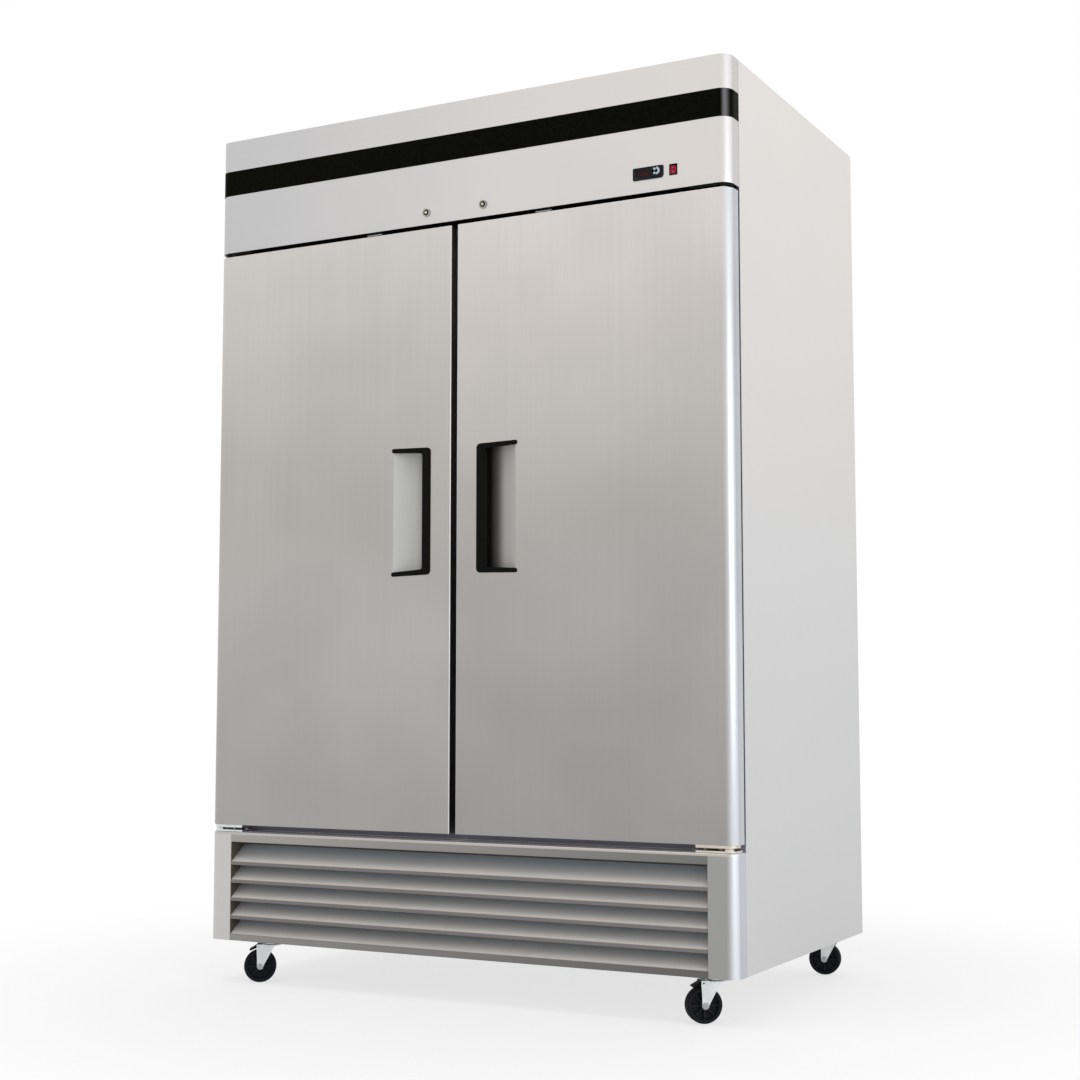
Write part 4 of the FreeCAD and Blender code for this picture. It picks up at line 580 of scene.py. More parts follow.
class Wiring:
    """Adds nodes to one node tree, laid out from left to right."""

    def __init__(self, tree: Tree) -> None:
        """Keeps the tree, its main shader if it has one, the place it reads and where the next node goes."""
        self.tree = tree
        self.shader = tree.nodes.get("Principled BSDF")
        self.place: Socket | None = None
        self.column = 0

    def node(self, kind: str, **settings: object) -> Node:
        """Adds a node.

        Args:
            kind: the node's type.
            settings: its properties by name.

        Returns:
            The node.
        """
        made = self.tree.nodes.new(kind)
        made.location = (self.column * 190.0, 0.0)
        self.column += 1
        for name, value in settings.items():
            setattr(made, name, value)
        return made

    def feed(self, socket: Socket, source: object) -> None:
        """Links an output to a socket, or sets the socket's own value."""
        if isinstance(source, Socket):
            self.tree.links.new(source, socket)
        else:
            socket.default_value = source

    def into(self, name: str, source: object) -> None:
        """Feeds a socket of the main shader."""
        self.feed(self.shader.inputs[name], source)

    def fed(self, kind: str, sources: Sequence[tuple[object, object]], **settings: object) -> Node:
        """Adds a node and feeds its inputs.

        Args:
            kind: the node's type.
            sources: pairs of an input's name or number and what feeds it.
            settings: the node's properties by name.

        Returns:
            The node.
        """
        made = self.node(kind, **settings)
        for key, source in sources:
            self.feed(made.inputs[key], source)
        return made

    def math(self, operation: str, *sources: object) -> Socket:
        """A Math node's result on the given values."""
        return self.fed("ShaderNodeMath", list(enumerate(sources)), operation=operation).outputs[0]

    def vector_math(self, operation: str, *sources: object) -> Socket:
        """A Vector Math node's vector result."""
        made = self.fed("ShaderNodeVectorMath", list(enumerate(sources)), operation=operation)
        return made.outputs["Vector"]

    def between(self, value: object, low: object, high: object) -> Socket:
        """How far a value is from low to high, smoothed and kept within zero and one."""
        sources = (("Value", value), ("From Min", low), ("From Max", high))
        return self.fed("ShaderNodeMapRange", sources, interpolation_type="SMOOTHSTEP").outputs["Result"]

    def mix(self, share: object, first: object, second: object, blend: str = "MIX") -> Socket:
        """A colour between two, or blended from them."""
        both = [(*tone, 1.0) if isinstance(tone, tuple) else tone for tone in (first, second)]
        sources = ((0, share), (6, both[0]), (7, both[1]))
        return self.fed("ShaderNodeMix", sources, data_type="RGBA", blend_type=blend).outputs[2]

    def ramp(self, value: object, tones: Sequence[tuple[float, Colour]]) -> Socket:
        """A colour that follows a coordinate, straight from each (place, colour) to the next."""
        low, high = tones[0][0], tones[-1][0]
        share = self.fed("ShaderNodeMapRange", (("Value", value), ("From Min", low), ("From Max", high)))
        made = self.fed("ShaderNodeValToRGB", [("Fac", share.outputs["Result"])])
        stops = made.color_ramp.elements
        stops[0].color, stops[1].color = (*tones[0][1], 1.0), (*tones[-1][1], 1.0)
        for place, colour in tones[1:-1]:
            stops.new((place - low) / (high - low)).color = (*colour, 1.0)
        return made.outputs["Color"]

    def noise(self, vector: object, scale: object, detail: float, rough: float = 0.5) -> Socket:
        """A noise texture's value."""
        sources = (("Vector", vector), ("Scale", scale), ("Detail", detail), ("Roughness", rough))
        return self.fed("ShaderNodeTexNoise", sources).outputs["Fac"]

    def axis(self, name: str, vector: Socket | None = None) -> Socket:
        """One coordinate of a vector, or of the place."""
        return self.fed("ShaderNodeSeparateXYZ", [(0, vector or self.place)]).outputs[name]

    def effect(self, effect: "Effect", control: object, place: Socket | None = None) -> Node:
        """Places a shared effect.

        Args:
            effect: the effect.
            control: what its control input gets.
            place: the coordinates that it reads, if not the material's own.

        Returns:
            The group node.
        """
        sources = (("Vector", place or self.place), (effect.control, control))
        return self.fed("ShaderNodeGroup", sources, node_tree=effect.tree())

    def mask(self, effect: "Effect", control: object, place: Socket | None = None) -> Socket:
        """A shared effect's value."""
        return self.effect(effect, control, place).outputs["Value"]

    def seen(self) -> Socket:
        """One on the rays of the camera, of reflections and through glass, and zero on all others."""
        path = self.node("ShaderNodeLightPath")
        first = self.math("MAXIMUM", path.outputs["Is Camera Ray"], path.outputs["Is Glossy Ray"])
        return self.math("MAXIMUM", first, path.outputs["Is Transmission Ray"])

    def shade(self, tone: object, mask: object, dark: float) -> None:
        """Colours the surface by a tone, which falls to a share of itself where a mask is zero."""
        light = self.mix(mask, (dark,) * 3, (1.0,) * 3)
        self.into("Base Color", self.mix(1.0, tone, light, "MULTIPLY"))

    def roughen(self, roughness: float, mask: object, spread: float) -> None:
        """Spreads the roughness by a mask, evenly about a value."""
        self.into("Roughness", self.math("MULTIPLY_ADD", mask, spread, roughness - spread / 2.0))

    def bump(self, height: object, depth: float, strength: float) -> None:
        """Raises the surface's shading by a height map of a real depth."""
        sources = (("Height", height), ("Distance", depth), ("Strength", strength))
        self.into("Normal", self.fed("ShaderNodeBump", sources).outputs["Normal"])


@dataclass(frozen=True)
class Effect:
    """A node group that several finishes use: coordinates and a control go in, values come out."""

    name: str
    control: str
    default: object
    outputs: tuple[str, ...]
    wire: Callable[[Wiring, Socket], Sequence[Socket]]

    def tree(self) -> Tree:
        """The node group, built the first time that it is asked for."""
        found = bpy.data.node_groups.get(self.name)
        if found is not None:
            return found
        tree = bpy.data.node_groups.new(self.name, "ShaderNodeTree")
        sockets = tree.interface
        sockets.new_socket("Vector", in_out="INPUT", socket_type="NodeSocketVector")
        kind = "NodeSocketVector" if isinstance(self.default, tuple) else "NodeSocketFloat"
        control = sockets.new_socket(self.control, in_out="INPUT", socket_type=kind)
        control.default_value = self.default
        for label in self.outputs:
            sockets.new_socket(label, in_out="OUTPUT", socket_type="NodeSocketFloat")
        w = Wiring(tree)
        enter, leave = w.node("NodeGroupInput"), w.node("NodeGroupOutput")
        w.place = enter.outputs["Vector"]
        for label, value in zip(self.outputs, self.wire(w, enter.outputs[self.control])):
            w.feed(leave.inputs[label], value)
        return tree


def scratched(w: Wiring, stretch: Socket) -> list[Socket]:
    """Fine parallel scratches: two sizes of noise on coordinates stretched along one axis, added."""
    stretched = w.vector_math("MULTIPLY", w.place, stretch)
    fine = w.noise(stretched, 1.0, 3.0, 0.7)
    coarse = w.noise(w.vector_math("MULTIPLY", stretched, (0.13, 0.13, 0.13)), 1.0, 2.0)
    both = w.math("ADD", w.math("MULTIPLY", fine, 0.6), w.math("MULTIPLY", coarse, 0.4))
    return [w.between(both, 0.3, 0.7)]


def clouded(w: Wiring, scale: Socket) -> list[Socket]:
    """Wide soft blotches, as on handled or rolled metal: one noise, spread to the full range."""
    return [w.between(w.noise(w.place, scale, 2.0), 0.32, 0.68)]


def worn_edges(w: Wiring, scale: Socket) -> list[Socket]:
    """High on outer edges and broken up: pointiness above the mean, times noise."""
    edge = w.between(w.node("ShaderNodeNewGeometry").outputs["Pointiness"], 0.52, 0.62)
    return [w.math("MULTIPLY", edge, w.between(w.noise(w.place, scale, 3.0), 0.35, 0.65))]


def dusted(w: Wiring, scale: Socket) -> list[Socket]:
    """High on faces that look up and broken up: the normal's upward share, times noise."""
    up = w.between(w.axis("Z", w.node("ShaderNodeNewGeometry").outputs["Normal"]), 0.2, 1.0)
    return [w.math("MULTIPLY", up, w.between(w.noise(w.place, scale, 4.0), 0.3, 0.7))]


def crystals(w: Wiring, scale: Socket) -> list[Socket]:
    """Crystal-like cells: a random value in each, and a height that dips between them."""
    texture = w.fed("ShaderNodeTexVoronoi", (("Vector", w.place), ("Scale", scale)))
    return [w.axis("X", texture.outputs["Color"]), texture.outputs["Distance"]]


SCRATCHES = Effect("Scratches", "Stretch", (1.0, 1.0, 1.0), ("Value",), scratched)
CLOUDS = Effect("Clouds", "Scale", 3.0, ("Value",), clouded)
EDGE_WEAR = Effect("Edge wear", "Scale", 90.0, ("Value",), worn_edges)
DUST = Effect("Dust", "Scale", 30.0, ("Value",), dusted)
CELLS = Effect("Cells", "Scale", 60.0, ("Value", "Height"), crystals)


# Finishes

# Places in metres where a highlight and a reflection are painted: the rounded corner and its fold across the
# front, and the doors' free edges
CORNER_X, FOLD_X = (0.667, 0.684), (0.6880, 0.6903)
EDGE_X, EDGE_Y = (0.0108, 0.0094), (-0.4205, -0.4222)
# The tones of a free edge's painted highlight, of dust and of a glint's painted highlight, a glint's reach,
# and the depth of a fine grain
EDGE_HIGHLIGHT, DUST_TONE, GLINT = (0.86, 0.86, 0.85), (0.42, 0.39, 0.35), (0.20, 0.20, 0.21)
GLINT_WIDTH, GRAIN_DEPTH = 0.009, 0.00002


@dataclass(frozen=True)
class Finish:
    """A finish: its colour, gloss and the detail that its texture method adds."""

    name: str
    slot: str
    colour: Colour
    roughness: float = 0.5
    metallic: float = 0.0

    def material(self) -> bpy.types.Material:
        """The finish's material, made the first time that it is asked for."""
        found = bpy.data.materials.get(self.name)
        if found is not None:
            return found
        made = bpy.data.materials.new(self.name)
        made.use_nodes = True
        made.diffuse_color = (*self.colour, 1.0)
        w = Wiring(made.node_tree)
        w.into("Base Color", (*self.colour, 1.0))
        w.into("Roughness", self.roughness)
        w.into("Metallic", self.metallic)
        w.place = w.node("ShaderNodeTexCoord").outputs["Object"]
        self.texture(w)
        return made

    def texture(self, w: Wiring) -> None:
        """Adds the finish's detail. The plain finish mottles its colour and gloss a little."""
        cloud = w.mask(CLOUDS, 14.0)
        w.shade(self.colour, cloud, 0.86)
        w.roughen(self.roughness, cloud, 0.08)


@dataclass(frozen=True)
class BrushedSheet(Finish):
    """Brushed stainless sheet: scratches, soft blotches, and its colour or tones that follow one axis, with a
    painted highlight on the rounded corner, a painted reflection on its fold and, where asked, a painted
    highlight on the free edges.
    """

    along: str = "Z"
    tones: tuple[tuple[float, Colour], ...] = ()
    # The painted highlight on the rounded corner, and the painted reflection on its fold
    corner: Colour | None = None
    fold: Colour = (0.55, 0.57, 0.61)
    # How strongly a painted highlight lightens the doors' free edges
    free_edge: float = 0.0
    grain: Grain = Grain.UPRIGHT
    streak: float = 0.06
    dusty: float = 0.0
    gloss: float = 0.5

    def texture(self, w: Wiring) -> None:
        """Lays the tone, paints a highlight on the rounded corner and the free edges and a reflection on the
        fold, dusts it, and scratches it along the grain.
        """
        scratch = w.mask(SCRATCHES, self.grain.value)
        cloud = w.mask(CLOUDS, 2.6)
        tone = w.ramp(w.axis(self.along), self.tones) if self.tones else self.colour
        # Painted highlight on the rounded corner, painted reflection on its fold
        if self.corner is not None:
            across = w.axis("X")
            tone = w.mix(w.between(across, *CORNER_X), tone, self.corner)
            tone = w.mix(w.between(across, *FOLD_X), tone, self.fold)
        # Painted highlight on the doors' free edges
        if self.free_edge > 0.0:
            near = w.between(w.math("ABSOLUTE", w.axis("X")), *EDGE_X)
            facing = w.between(w.axis("Y"), *EDGE_Y)
            share = w.math("MULTIPLY", w.math("MULTIPLY", near, facing), self.free_edge)
            tone = w.mix(share, tone, EDGE_HIGHLIGHT)
        if self.dusty > 0.0:
            tone = w.mix(w.math("MULTIPLY", w.mask(DUST, 22.0), self.dusty), tone, DUST_TONE)
        marks = w.math("ADD", w.math("MULTIPLY", scratch, 0.4), w.math("MULTIPLY", cloud, 0.6))
        w.shade(tone, marks, 1.0 - self.streak)
        w.roughen(self.roughness, scratch, 0.10)
        w.into("Specular IOR Level", self.gloss)
        w.bump(scratch, GRAIN_DEPTH, 0.35)


@dataclass(frozen=True)
class PaintedSheet(Finish):
    """Pre-painted sheet: faint orange peel and a tone that changes down its height, which is painted light.
    """

    tones: tuple[tuple[float, Colour], ...] = ((0.0, (0.6, 0.6, 0.6)), (1.0, (0.6, 0.6, 0.6)))

    def texture(self, w: Wiring) -> None:
        """Lays the painted light over the height, mottles it faintly and adds the orange peel."""
        cloud = w.mask(CLOUDS, 1.7)
        w.shade(w.ramp(w.axis("Z"), self.tones), cloud, 0.975)
        w.roughen(self.roughness, cloud, 0.06)
        w.bump(w.noise(w.place, 900.0, 2.0), GRAIN_DEPTH, 0.25)


@dataclass(frozen=True)
class ZincSheet(Finish):
    """Galvanised sheet: crystal spangle of random greys, each with its own gloss."""

    scale: float = 120.0

    def texture(self, w: Wiring) -> None:
        """Colours and roughens each crystal by its random value, on coordinates warped by noise."""
        warp = w.fed("ShaderNodeTexNoise", (("Vector", w.place), ("Scale", self.scale * 0.8)))
        shift = w.vector_math("MULTIPLY", warp.outputs["Color"], (0.02, 0.02, 0.02))
        cells = w.mask(CELLS, self.scale, w.vector_math("ADD", w.place, shift))
        w.shade(self.colour, cells, 0.84)
        w.roughen(self.roughness, cells, 0.16)


@dataclass(frozen=True)
class EmbossedSheet(Finish):
    """Stucco-embossed aluminium, as inside a cold cabinet."""

    def texture(self, w: Wiring) -> None:
        """Rounded pits between ridges, with a mottled tone."""
        cloud = w.mask(CLOUDS, 4.0)
        w.shade(self.colour, cloud, 0.94)
        w.roughen(self.roughness, cloud, 0.08)
        w.bump(w.effect(CELLS, 170.0).outputs["Height"], 0.0006, 0.5)


@dataclass(frozen=True)
class Moulded(Finish):
    """Moulded plastic or rubber: a fine eroded texture, paler on worn edges, dusty on top.

    A glint is a soft pale line down the rounded corner at that X.
    """

    worn: Colour = (0.1, 0.1, 0.1)
    texture_scale: float = 1400.0
    depth: float = 0.00004
    coat: float = 0.0
    dusty: float = 0.15
    gloss: float = 0.5
    glint: float = 0.0

    def texture(self, w: Wiring) -> None:
        """Wears the edges, dusts the upper faces and adds the mould's texture."""
        speck = w.noise(w.place, self.texture_scale, 3.0, 0.6)
        wear = w.math("MULTIPLY", w.mask(EDGE_WEAR, 120.0), 0.6)
        share = w.math("MAXIMUM", wear, w.math("MULTIPLY", w.mask(DUST, 60.0), self.dusty))
        tone = w.mix(share, self.colour, self.worn)
        if self.glint > 0.0:
            away = w.math("ABSOLUTE", w.math("SUBTRACT", w.axis("X"), self.glint))
            tone = w.mix(w.between(away, GLINT_WIDTH, 0.0), tone, GLINT)
        w.shade(tone, speck, 0.85)
        w.roughen(self.roughness, speck, 0.14)
        w.into("Coat Weight", self.coat)
        w.into("Specular IOR Level", self.gloss)
        w.bump(speck, self.depth, 0.4)


@dataclass(frozen=True)
class PlatedMetal(Finish):
    """Zinc, nickel or brass plate: a cloudy tone, darker in patches and brighter on edges."""

    stain: Colour = (0.4, 0.38, 0.34)

    def texture(self, w: Wiring) -> None:
        """Stains the plate in soft patches and brightens its edges."""
        fine = w.mask(SCRATCHES, Grain.NONE.value)
        tone = w.mix(w.math("MULTIPLY", w.mask(CLOUDS, 45.0), 0.45), self.colour, self.stain)
        bright = tuple(min(1.0, 1.12 * channel) for channel in self.colour)
        w.into("Base Color", w.mix(w.mask(EDGE_WEAR, 200.0), tone, bright))
        w.roughen(self.roughness, fine, 0.16)
        w.bump(fine, GRAIN_DEPTH, 0.3)


@dataclass(frozen=True)
class LockPlug(PlatedMetal):
    """Plate that stays bright round a lock's keyhole and is black from there to the rim."""

    centre: tuple[float, float] = (0.077, 1.832)

    def texture(self, w: Wiring) -> None:
        """Blackens the plate by the distance from the lock's axis, on both sides of the middle."""
        super().texture(w)
        plated = w.shader.inputs["Base Color"].links[0].from_socket
        across = w.math("SUBTRACT", w.math("ABSOLUTE", w.axis("X")), self.centre[0])
        up = w.math("SUBTRACT", w.axis("Z"), self.centre[1])
        square = w.math("ADD", w.math("MULTIPLY", across, across), w.math("MULTIPLY", up, up))
        rim = w.between(w.math("SQRT", square), 0.0027, 0.0036)
        w.into("Base Color", w.mix(rim, plated, (0.03, 0.028, 0.024)))


@dataclass(frozen=True)
class Finned(Finish):
    """A coil's stack of thin fins: bright edges with dark gaps of painted shade between them, repeated along
    X.
    """

    pitch: float = 0.005

    def texture(self, w: Wiring) -> None:
        """A saw-tooth along X for the gaps, cut deep by the bump."""
        tooth = w.math("PINGPONG", w.math("DIVIDE", w.axis("X"), self.pitch), 0.5)
        edge = w.between(tooth, 0.10, 0.30)
        # The gaps between the fins are painted shade
        w.into("Base Color", w.mix(edge, (0.03, 0.03, 0.032), self.colour))
        w.roughen(self.roughness, w.noise(w.place, 300.0, 2.0), 0.2)
        w.bump(edge, 0.002, 0.8)


@dataclass(frozen=True)
class Foam(Finish):
    """Rigid foam: fine cells on a mottled straw colour."""

    def texture(self, w: Wiring) -> None:
        """Small cells for the bump, clouds for the tone."""
        w.shade(self.colour, w.mask(CLOUDS, 9.0), 0.8)
        w.bump(w.effect(CELLS, 420.0).outputs["Height"], 0.0008, 0.6)


@dataclass(frozen=True)
class LitPlastic(Finish):
    """Tinted see-through plastic, such as a red rocker or a display filter."""

    transmission: float = 0.3
    gloss: float = 0.1
    coat: float = 0.1

    def texture(self, w: Wiring) -> None:
        """Deepens the tint in soft patches and lets some light through."""
        cloud = w.mask(CLOUDS, 160.0)
        w.shade(self.colour, cloud, 0.7)
        w.roughen(self.roughness + 0.03, cloud, 0.06)
        w.into("Transmission Weight", self.transmission)
        w.into("Specular IOR Level", self.gloss)
        w.into("Coat Weight", self.coat)


def smoothed(node: str, finish: Finish, smooth: float = 38.0) -> bpy.types.Object:
    """A copy of a CAD node with its triangles merged and its round faces shaded smooth.

    Args:
        node: the node that the copy stands for.
        finish: its finish.
        smooth: edges sharper than this angle, in degrees, stay crisp.

    Returns:
        The copy.
    """
    source = frame["nodes"][node]
    mesh = bpy.data.meshes.new(node + "_smooth")
    work = bmesh.new()
    work.from_mesh(source.data)
    bmesh.ops.remove_doubles(work, verts=work.verts, dist=1e-6)
    work.to_mesh(mesh)
    work.free()
    custom = mesh.attributes.get("custom_normal")
    if custom is not None:
        mesh.attributes.remove(custom)
    mesh.shade_smooth()
    mesh.set_sharp_from_angle(angle=math.radians(smooth))
    mesh.materials.append(finish.material())
    piece = in_scene(node + "_smooth", mesh)
    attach(piece, source["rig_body"])
    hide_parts(node)
    return piece


def carve(piece: bpy.types.Object, surface: Surface) -> None:
    """Cuts a closed surface out of a piece, and keeps the result as the piece's mesh.

    Args:
        piece: the piece to cut.
        surface: the closed surface of what is removed.
    """
    mesh = merged_mesh("cutter", surface)
    cutter = in_scene("cutter", mesh)
    cut = piece.modifiers.new("cut", "BOOLEAN")
    cut.operation = "DIFFERENCE"
    cut.solver = "EXACT"
    cut.object = cutter
    bpy.context.view_layer.update()
    shown = piece.evaluated_get(bpy.context.evaluated_depsgraph_get())
    result = bpy.data.meshes.new_from_object(shown)
    piece.modifiers.remove(cut)
    piece.data = result
    bpy.data.objects.remove(cutter)
    bpy.data.meshes.remove(mesh)
    result.shade_smooth()
    result.set_sharp_from_angle(angle=math.radians(CRISP))


# Finishes of this freezer

# The doors' tones are painted reflection, lighter towards the top and darker towards the bottom; the corner
# and free-edge tones are painted highlights
DOOR_STEEL = BrushedSheet("door steel", "brushed_steel", (0.5, 0.48, 0.46), 0.34, 1.0,
                          corner=(0.72, 0.75, 0.79), free_edge=0.8, streak=0.13,
                          tones=((0.379, (0.366, 0.355, 0.35)), (0.81, (0.427, 0.412, 0.397)),
                                 (1.16, (0.494, 0.471, 0.448)), (1.48, (0.628, 0.597, 0.572)),
                                 (1.793, (0.72, 0.68, 0.649))))
# The left door's own painted light: lighter than the right door low down and darker high up
LEFT_DOOR_LIT_STEEL = replace(DOOR_STEEL, name="left door steel",
                          tones=((0.379, (0.402, 0.397, 0.376)), (0.81, (0.469, 0.461, 0.438)),
                                 (1.16, (0.494, 0.471, 0.448)), (1.48, (0.561, 0.536, 0.51)),
                                 (1.793, (0.685, 0.654, 0.623))))
# The header's tones are painted reflection: cooler and darker to the left, warmer and lighter to the right,
# with the corner's painted highlight
HEADER_STEEL = BrushedSheet("header steel", "brushed_steel", (0.65, 0.63, 0.61), 0.36, 1.0, along="X",
                            corner=(0.80, 0.78, 0.78), fold=(0.63, 0.62, 0.60), grain=Grain.ACROSS,
                            streak=0.03,
                            tones=((-0.691, (0.575, 0.575, 0.58)), (0.1, (0.69, 0.67, 0.655)),
                                   (0.691, (0.725, 0.69, 0.66))))
# The rails' tones are painted light: lighter at the left end, darker at the right
RAIL_STEEL = BrushedSheet("rail steel", "brushed_steel", (0.33, 0.31, 0.29), 0.36, 1.0, along="X",
                          grain=Grain.ACROSS,
                          tones=((-0.62, (0.385, 0.36, 0.34)), (0.62, (0.195, 0.197, 0.19))))
FOOT_STEEL = BrushedSheet("foot rail steel", "brushed_steel", (0.25, 0.235, 0.22), 0.36, 1.0, along="X",
                          grain=Grain.ACROSS,
                          tones=((-0.62, (0.305, 0.295, 0.285)), (0.62, (0.145, 0.14, 0.135))))
# The ledge's front has the corner's painted highlight and is painted a little darker to the right
LEDGE_STEEL = BrushedSheet("ledge steel", "brushed_steel", (0.60, 0.56, 0.53), 0.36, 1.0, along="X",
                           corner=(0.72, 0.75, 0.79), grain=Grain.ACROSS,
                           tones=((-0.691, (0.52, 0.49, 0.465)), (0.691, (0.50, 0.47, 0.45))))
# End-cap tones: the left cap painted in light, the right one in shade, their inner faces painted in shade,
# and the corner's painted highlight
CAP_INNER_SHADE, LIT_CAP, SHADED_CAP = (0.06, 0.053, 0.045), (0.59, 0.58, 0.57), (0.35, 0.35, 0.345)
CAP_STEEL = BrushedSheet("end cap steel", "brushed_steel", (0.45, 0.44, 0.43), 0.36, 1.0, along="X",
                         corner=(0.72, 0.75, 0.79),
                         tones=((-0.691, LIT_CAP), (-0.6262, LIT_CAP), (-0.6256, CAP_INNER_SHADE),
                                (0.6256, CAP_INNER_SHADE), (0.6262, SHADED_CAP), (0.691, SHADED_CAP)))
# Blade tones along Y are painted shade: dark on the lips, pale just behind them, and darker and bluer towards
# the back
BLADE_STEEL = BrushedSheet("blade steel", "brushed_steel", (0.6, 0.6, 0.6), 0.45, 0.0, along="Y",
                           grain=Grain.ACROSS, dusty=0.12, gloss=0.2,
                           tones=((-0.4235, (0.215, 0.195, 0.185)), (-0.4214, (0.215, 0.195, 0.185)),
                                  (-0.4195, (0.65, 0.615, 0.58)), (-0.396, (0.46, 0.46, 0.46)),
                                  (-0.372, (0.40, 0.48, 0.53))))
# The scoop's tones are painted shade: near black by the right handle's bar, lighter out to its far side, and
# only a little darker by the left one's bar
SCOOP_STEEL = BrushedSheet("scoop steel", "brushed_steel", (0.5, 0.49, 0.48), 0.42, 0.0, along="X", gloss=0.1,
                           tones=((-0.164, (0.66, 0.66, 0.65)), (-0.116, (0.62, 0.62, 0.61)),
                                  (-0.100, (0.45, 0.44, 0.43)), (0.066, (0.010, 0.009, 0.008)),
                                  (0.082, (0.012, 0.010, 0.009)), (0.102, (0.14, 0.13, 0.12)),
                                  (0.122, (0.49, 0.47, 0.45)), (0.164, (0.56, 0.54, 0.515))))
SHADOW_STEEL = BrushedSheet("shadowed steel", "brushed_steel", (0.03, 0.03, 0.03), 0.45, 1.0)
# Painted light: the ledge's top under the doors, pale and lavender where it lies in their shade
LEDGE_TOP_LIGHT = BrushedSheet("ledge top steel", "brushed_steel", (0.75, 0.73, 0.80), 0.5, 0.0, gloss=0.1,
                         grain=Grain.ACROSS)
# Painted shade: dark sheets at the openings' ends and on the ledge's rear hem
WALL_SHADE = BrushedSheet("grille end wall", "brushed_steel", (0.12, 0.10, 0.075), 0.6, 0.0, gloss=0.05)
# The side's tones are painted reflection: lighter towards the top, darker towards the bottom
SIDE_SHEET = PaintedSheet("side sheet", "side_sheet", (0.73, 0.715, 0.695), 0.42, 0.0,
                          tones=((0.1, (0.63, 0.63, 0.63)), (0.72, (0.65, 0.65, 0.65)),
                                 (1.07, (0.69, 0.685, 0.68)), (1.35, (0.735, 0.70, 0.67)),
                                 (2.09, (0.82, 0.775, 0.74))))
GALVANISED = ZincSheet("galvanised sheet", "galvanised_sheet", (0.66, 0.68, 0.69), 0.42, 0.85)
FOAM = Foam("rigid foam", "foam", (0.62, 0.47, 0.22), 0.85)
LINER_METAL = EmbossedSheet("embossed liner", "liner_metal", (0.78, 0.79, 0.80), 0.38, 0.9)
# Painted light: the strip is paler and bluer below 0.379 m, where it shows in the doors' shaded gap
BREAKER = PaintedSheet("breaker strip", "breaker_plastic", (0.07, 0.066, 0.088), 0.45,
                       tones=((0.379, (0.26, 0.25, 0.31)), (0.40, (0.07, 0.066, 0.088))))
BAND = Moulded("black band", "black_band", (0.0028, 0.0031, 0.0012), 0.33, worn=(0.006, 0.006, 0.005),
               texture_scale=2200.0, depth=0.00001, dusty=0.05, gloss=0.015, glint=0.679)
CHROME = PlatedMetal("chrome plate", "chrome", (0.72, 0.72, 0.71), 0.2, 1.0, stain=(0.55, 0.54, 0.5))
BRASS = LockPlug("lock brass", "lock_brass", (0.86, 0.78, 0.60), 0.3, 1.0, stain=(0.55, 0.46, 0.30))
LOCK_PLATE = PlatedMetal("lock ring plate", "chrome", (0.42, 0.42, 0.39), 0.3, 1.0, stain=(0.24, 0.24, 0.22))
CASE_PLASTIC = Moulded("controller case", "controller_plastic", (0.008, 0.014, 0.017), 0.3,
                       worn=(0.03, 0.04, 0.045), texture_scale=2600.0, depth=0.00001, dusty=0.05, gloss=0.1)
DISPLAY = LitPlastic("display filter", "display_glass", (0.012, 0.003, 0.004), 0.12, transmission=0.0)
DIGITS = LitPlastic("unlit digits", "display_glass", (0.085, 0.008, 0.014), 0.3, transmission=0.0)
KEY_PLASTIC = Moulded("key plastic", "key_plastic", (0.52, 0.62, 0.70), 0.35, worn=(0.6, 0.68, 0.72),
                      texture_scale=3000.0, depth=0.00001, dusty=0.0)
ROCKER_RED = LitPlastic("rocker red", "red_plastic", (0.40, 0.003, 0.035), 0.18, transmission=0.2)
MARK_PAINT = Finish("mark paint", "red_plastic", (0.50, 0.22, 0.28), 0.5)
BLACK_PLASTIC = Moulded("black plastic", "black_plastic", (0.0045, 0.0045, 0.004), 0.42,
                        worn=(0.02, 0.02, 0.019), gloss=0.05)
GASKET_RUBBER = Moulded("gasket rubber", "gasket_rubber", (0.02, 0.02, 0.022), 0.6, worn=(0.05, 0.05, 0.05))
ZINC = PlatedMetal("zinc plate", "zinc", (0.71, 0.74, 0.745), 0.32, 1.0, stain=(0.52, 0.54, 0.545))
HINGE_ZINC = PlatedMetal("hinge plate zinc", "zinc", (0.66, 0.60, 0.51), 0.34, 1.0, stain=(0.46, 0.42, 0.35))
BOLT_STEEL = PlatedMetal("bolt steel", "zinc", (0.40, 0.41, 0.43), 0.3, 1.0, stain=(0.25, 0.25, 0.26))
# Pale along the lowest 1.4 mm, near black above
SWITCH_TONES = BrushedSheet("door switch trim", "zinc", (0.4, 0.4, 0.4), 0.35, 0.6,
                           tones=((1.7978, (0.80, 0.80, 0.80)), (1.7992, (0.80, 0.80, 0.80)),
                                  (1.7994, (0.010, 0.010, 0.010)), (1.8030, (0.010, 0.010, 0.010))))
# Painted shade: the upper hinges sit in the dark gap under the header
SHADED_ZINC = PlatedMetal("blackened zinc", "zinc", (0.02, 0.02, 0.019), 0.4, 1.0, stain=(0.012, 0.012, 0.011))
SHELF_COATING = Moulded("shelf coating", "shelf_coating", (0.74, 0.75, 0.74), 0.35, worn=(0.6, 0.6, 0.58))
FINS = Finned("coil fins", "fin_metal", (0.62, 0.64, 0.66), 0.4, 0.8)
MOTOR_PAINT = Moulded("motor paint", "motor_paint", (0.10, 0.11, 0.12), 0.4, worn=(0.3, 0.3, 0.3))
COMPRESSOR_PAINT = Moulded("compressor paint", "compressor_paint", (0.012, 0.012, 0.013), 0.35,
                           worn=(0.08, 0.08, 0.08), coat=0.3)
FAN_METAL = PlatedMetal("fan blades", "fan_metal", (0.64, 0.66, 0.68), 0.35, 1.0)
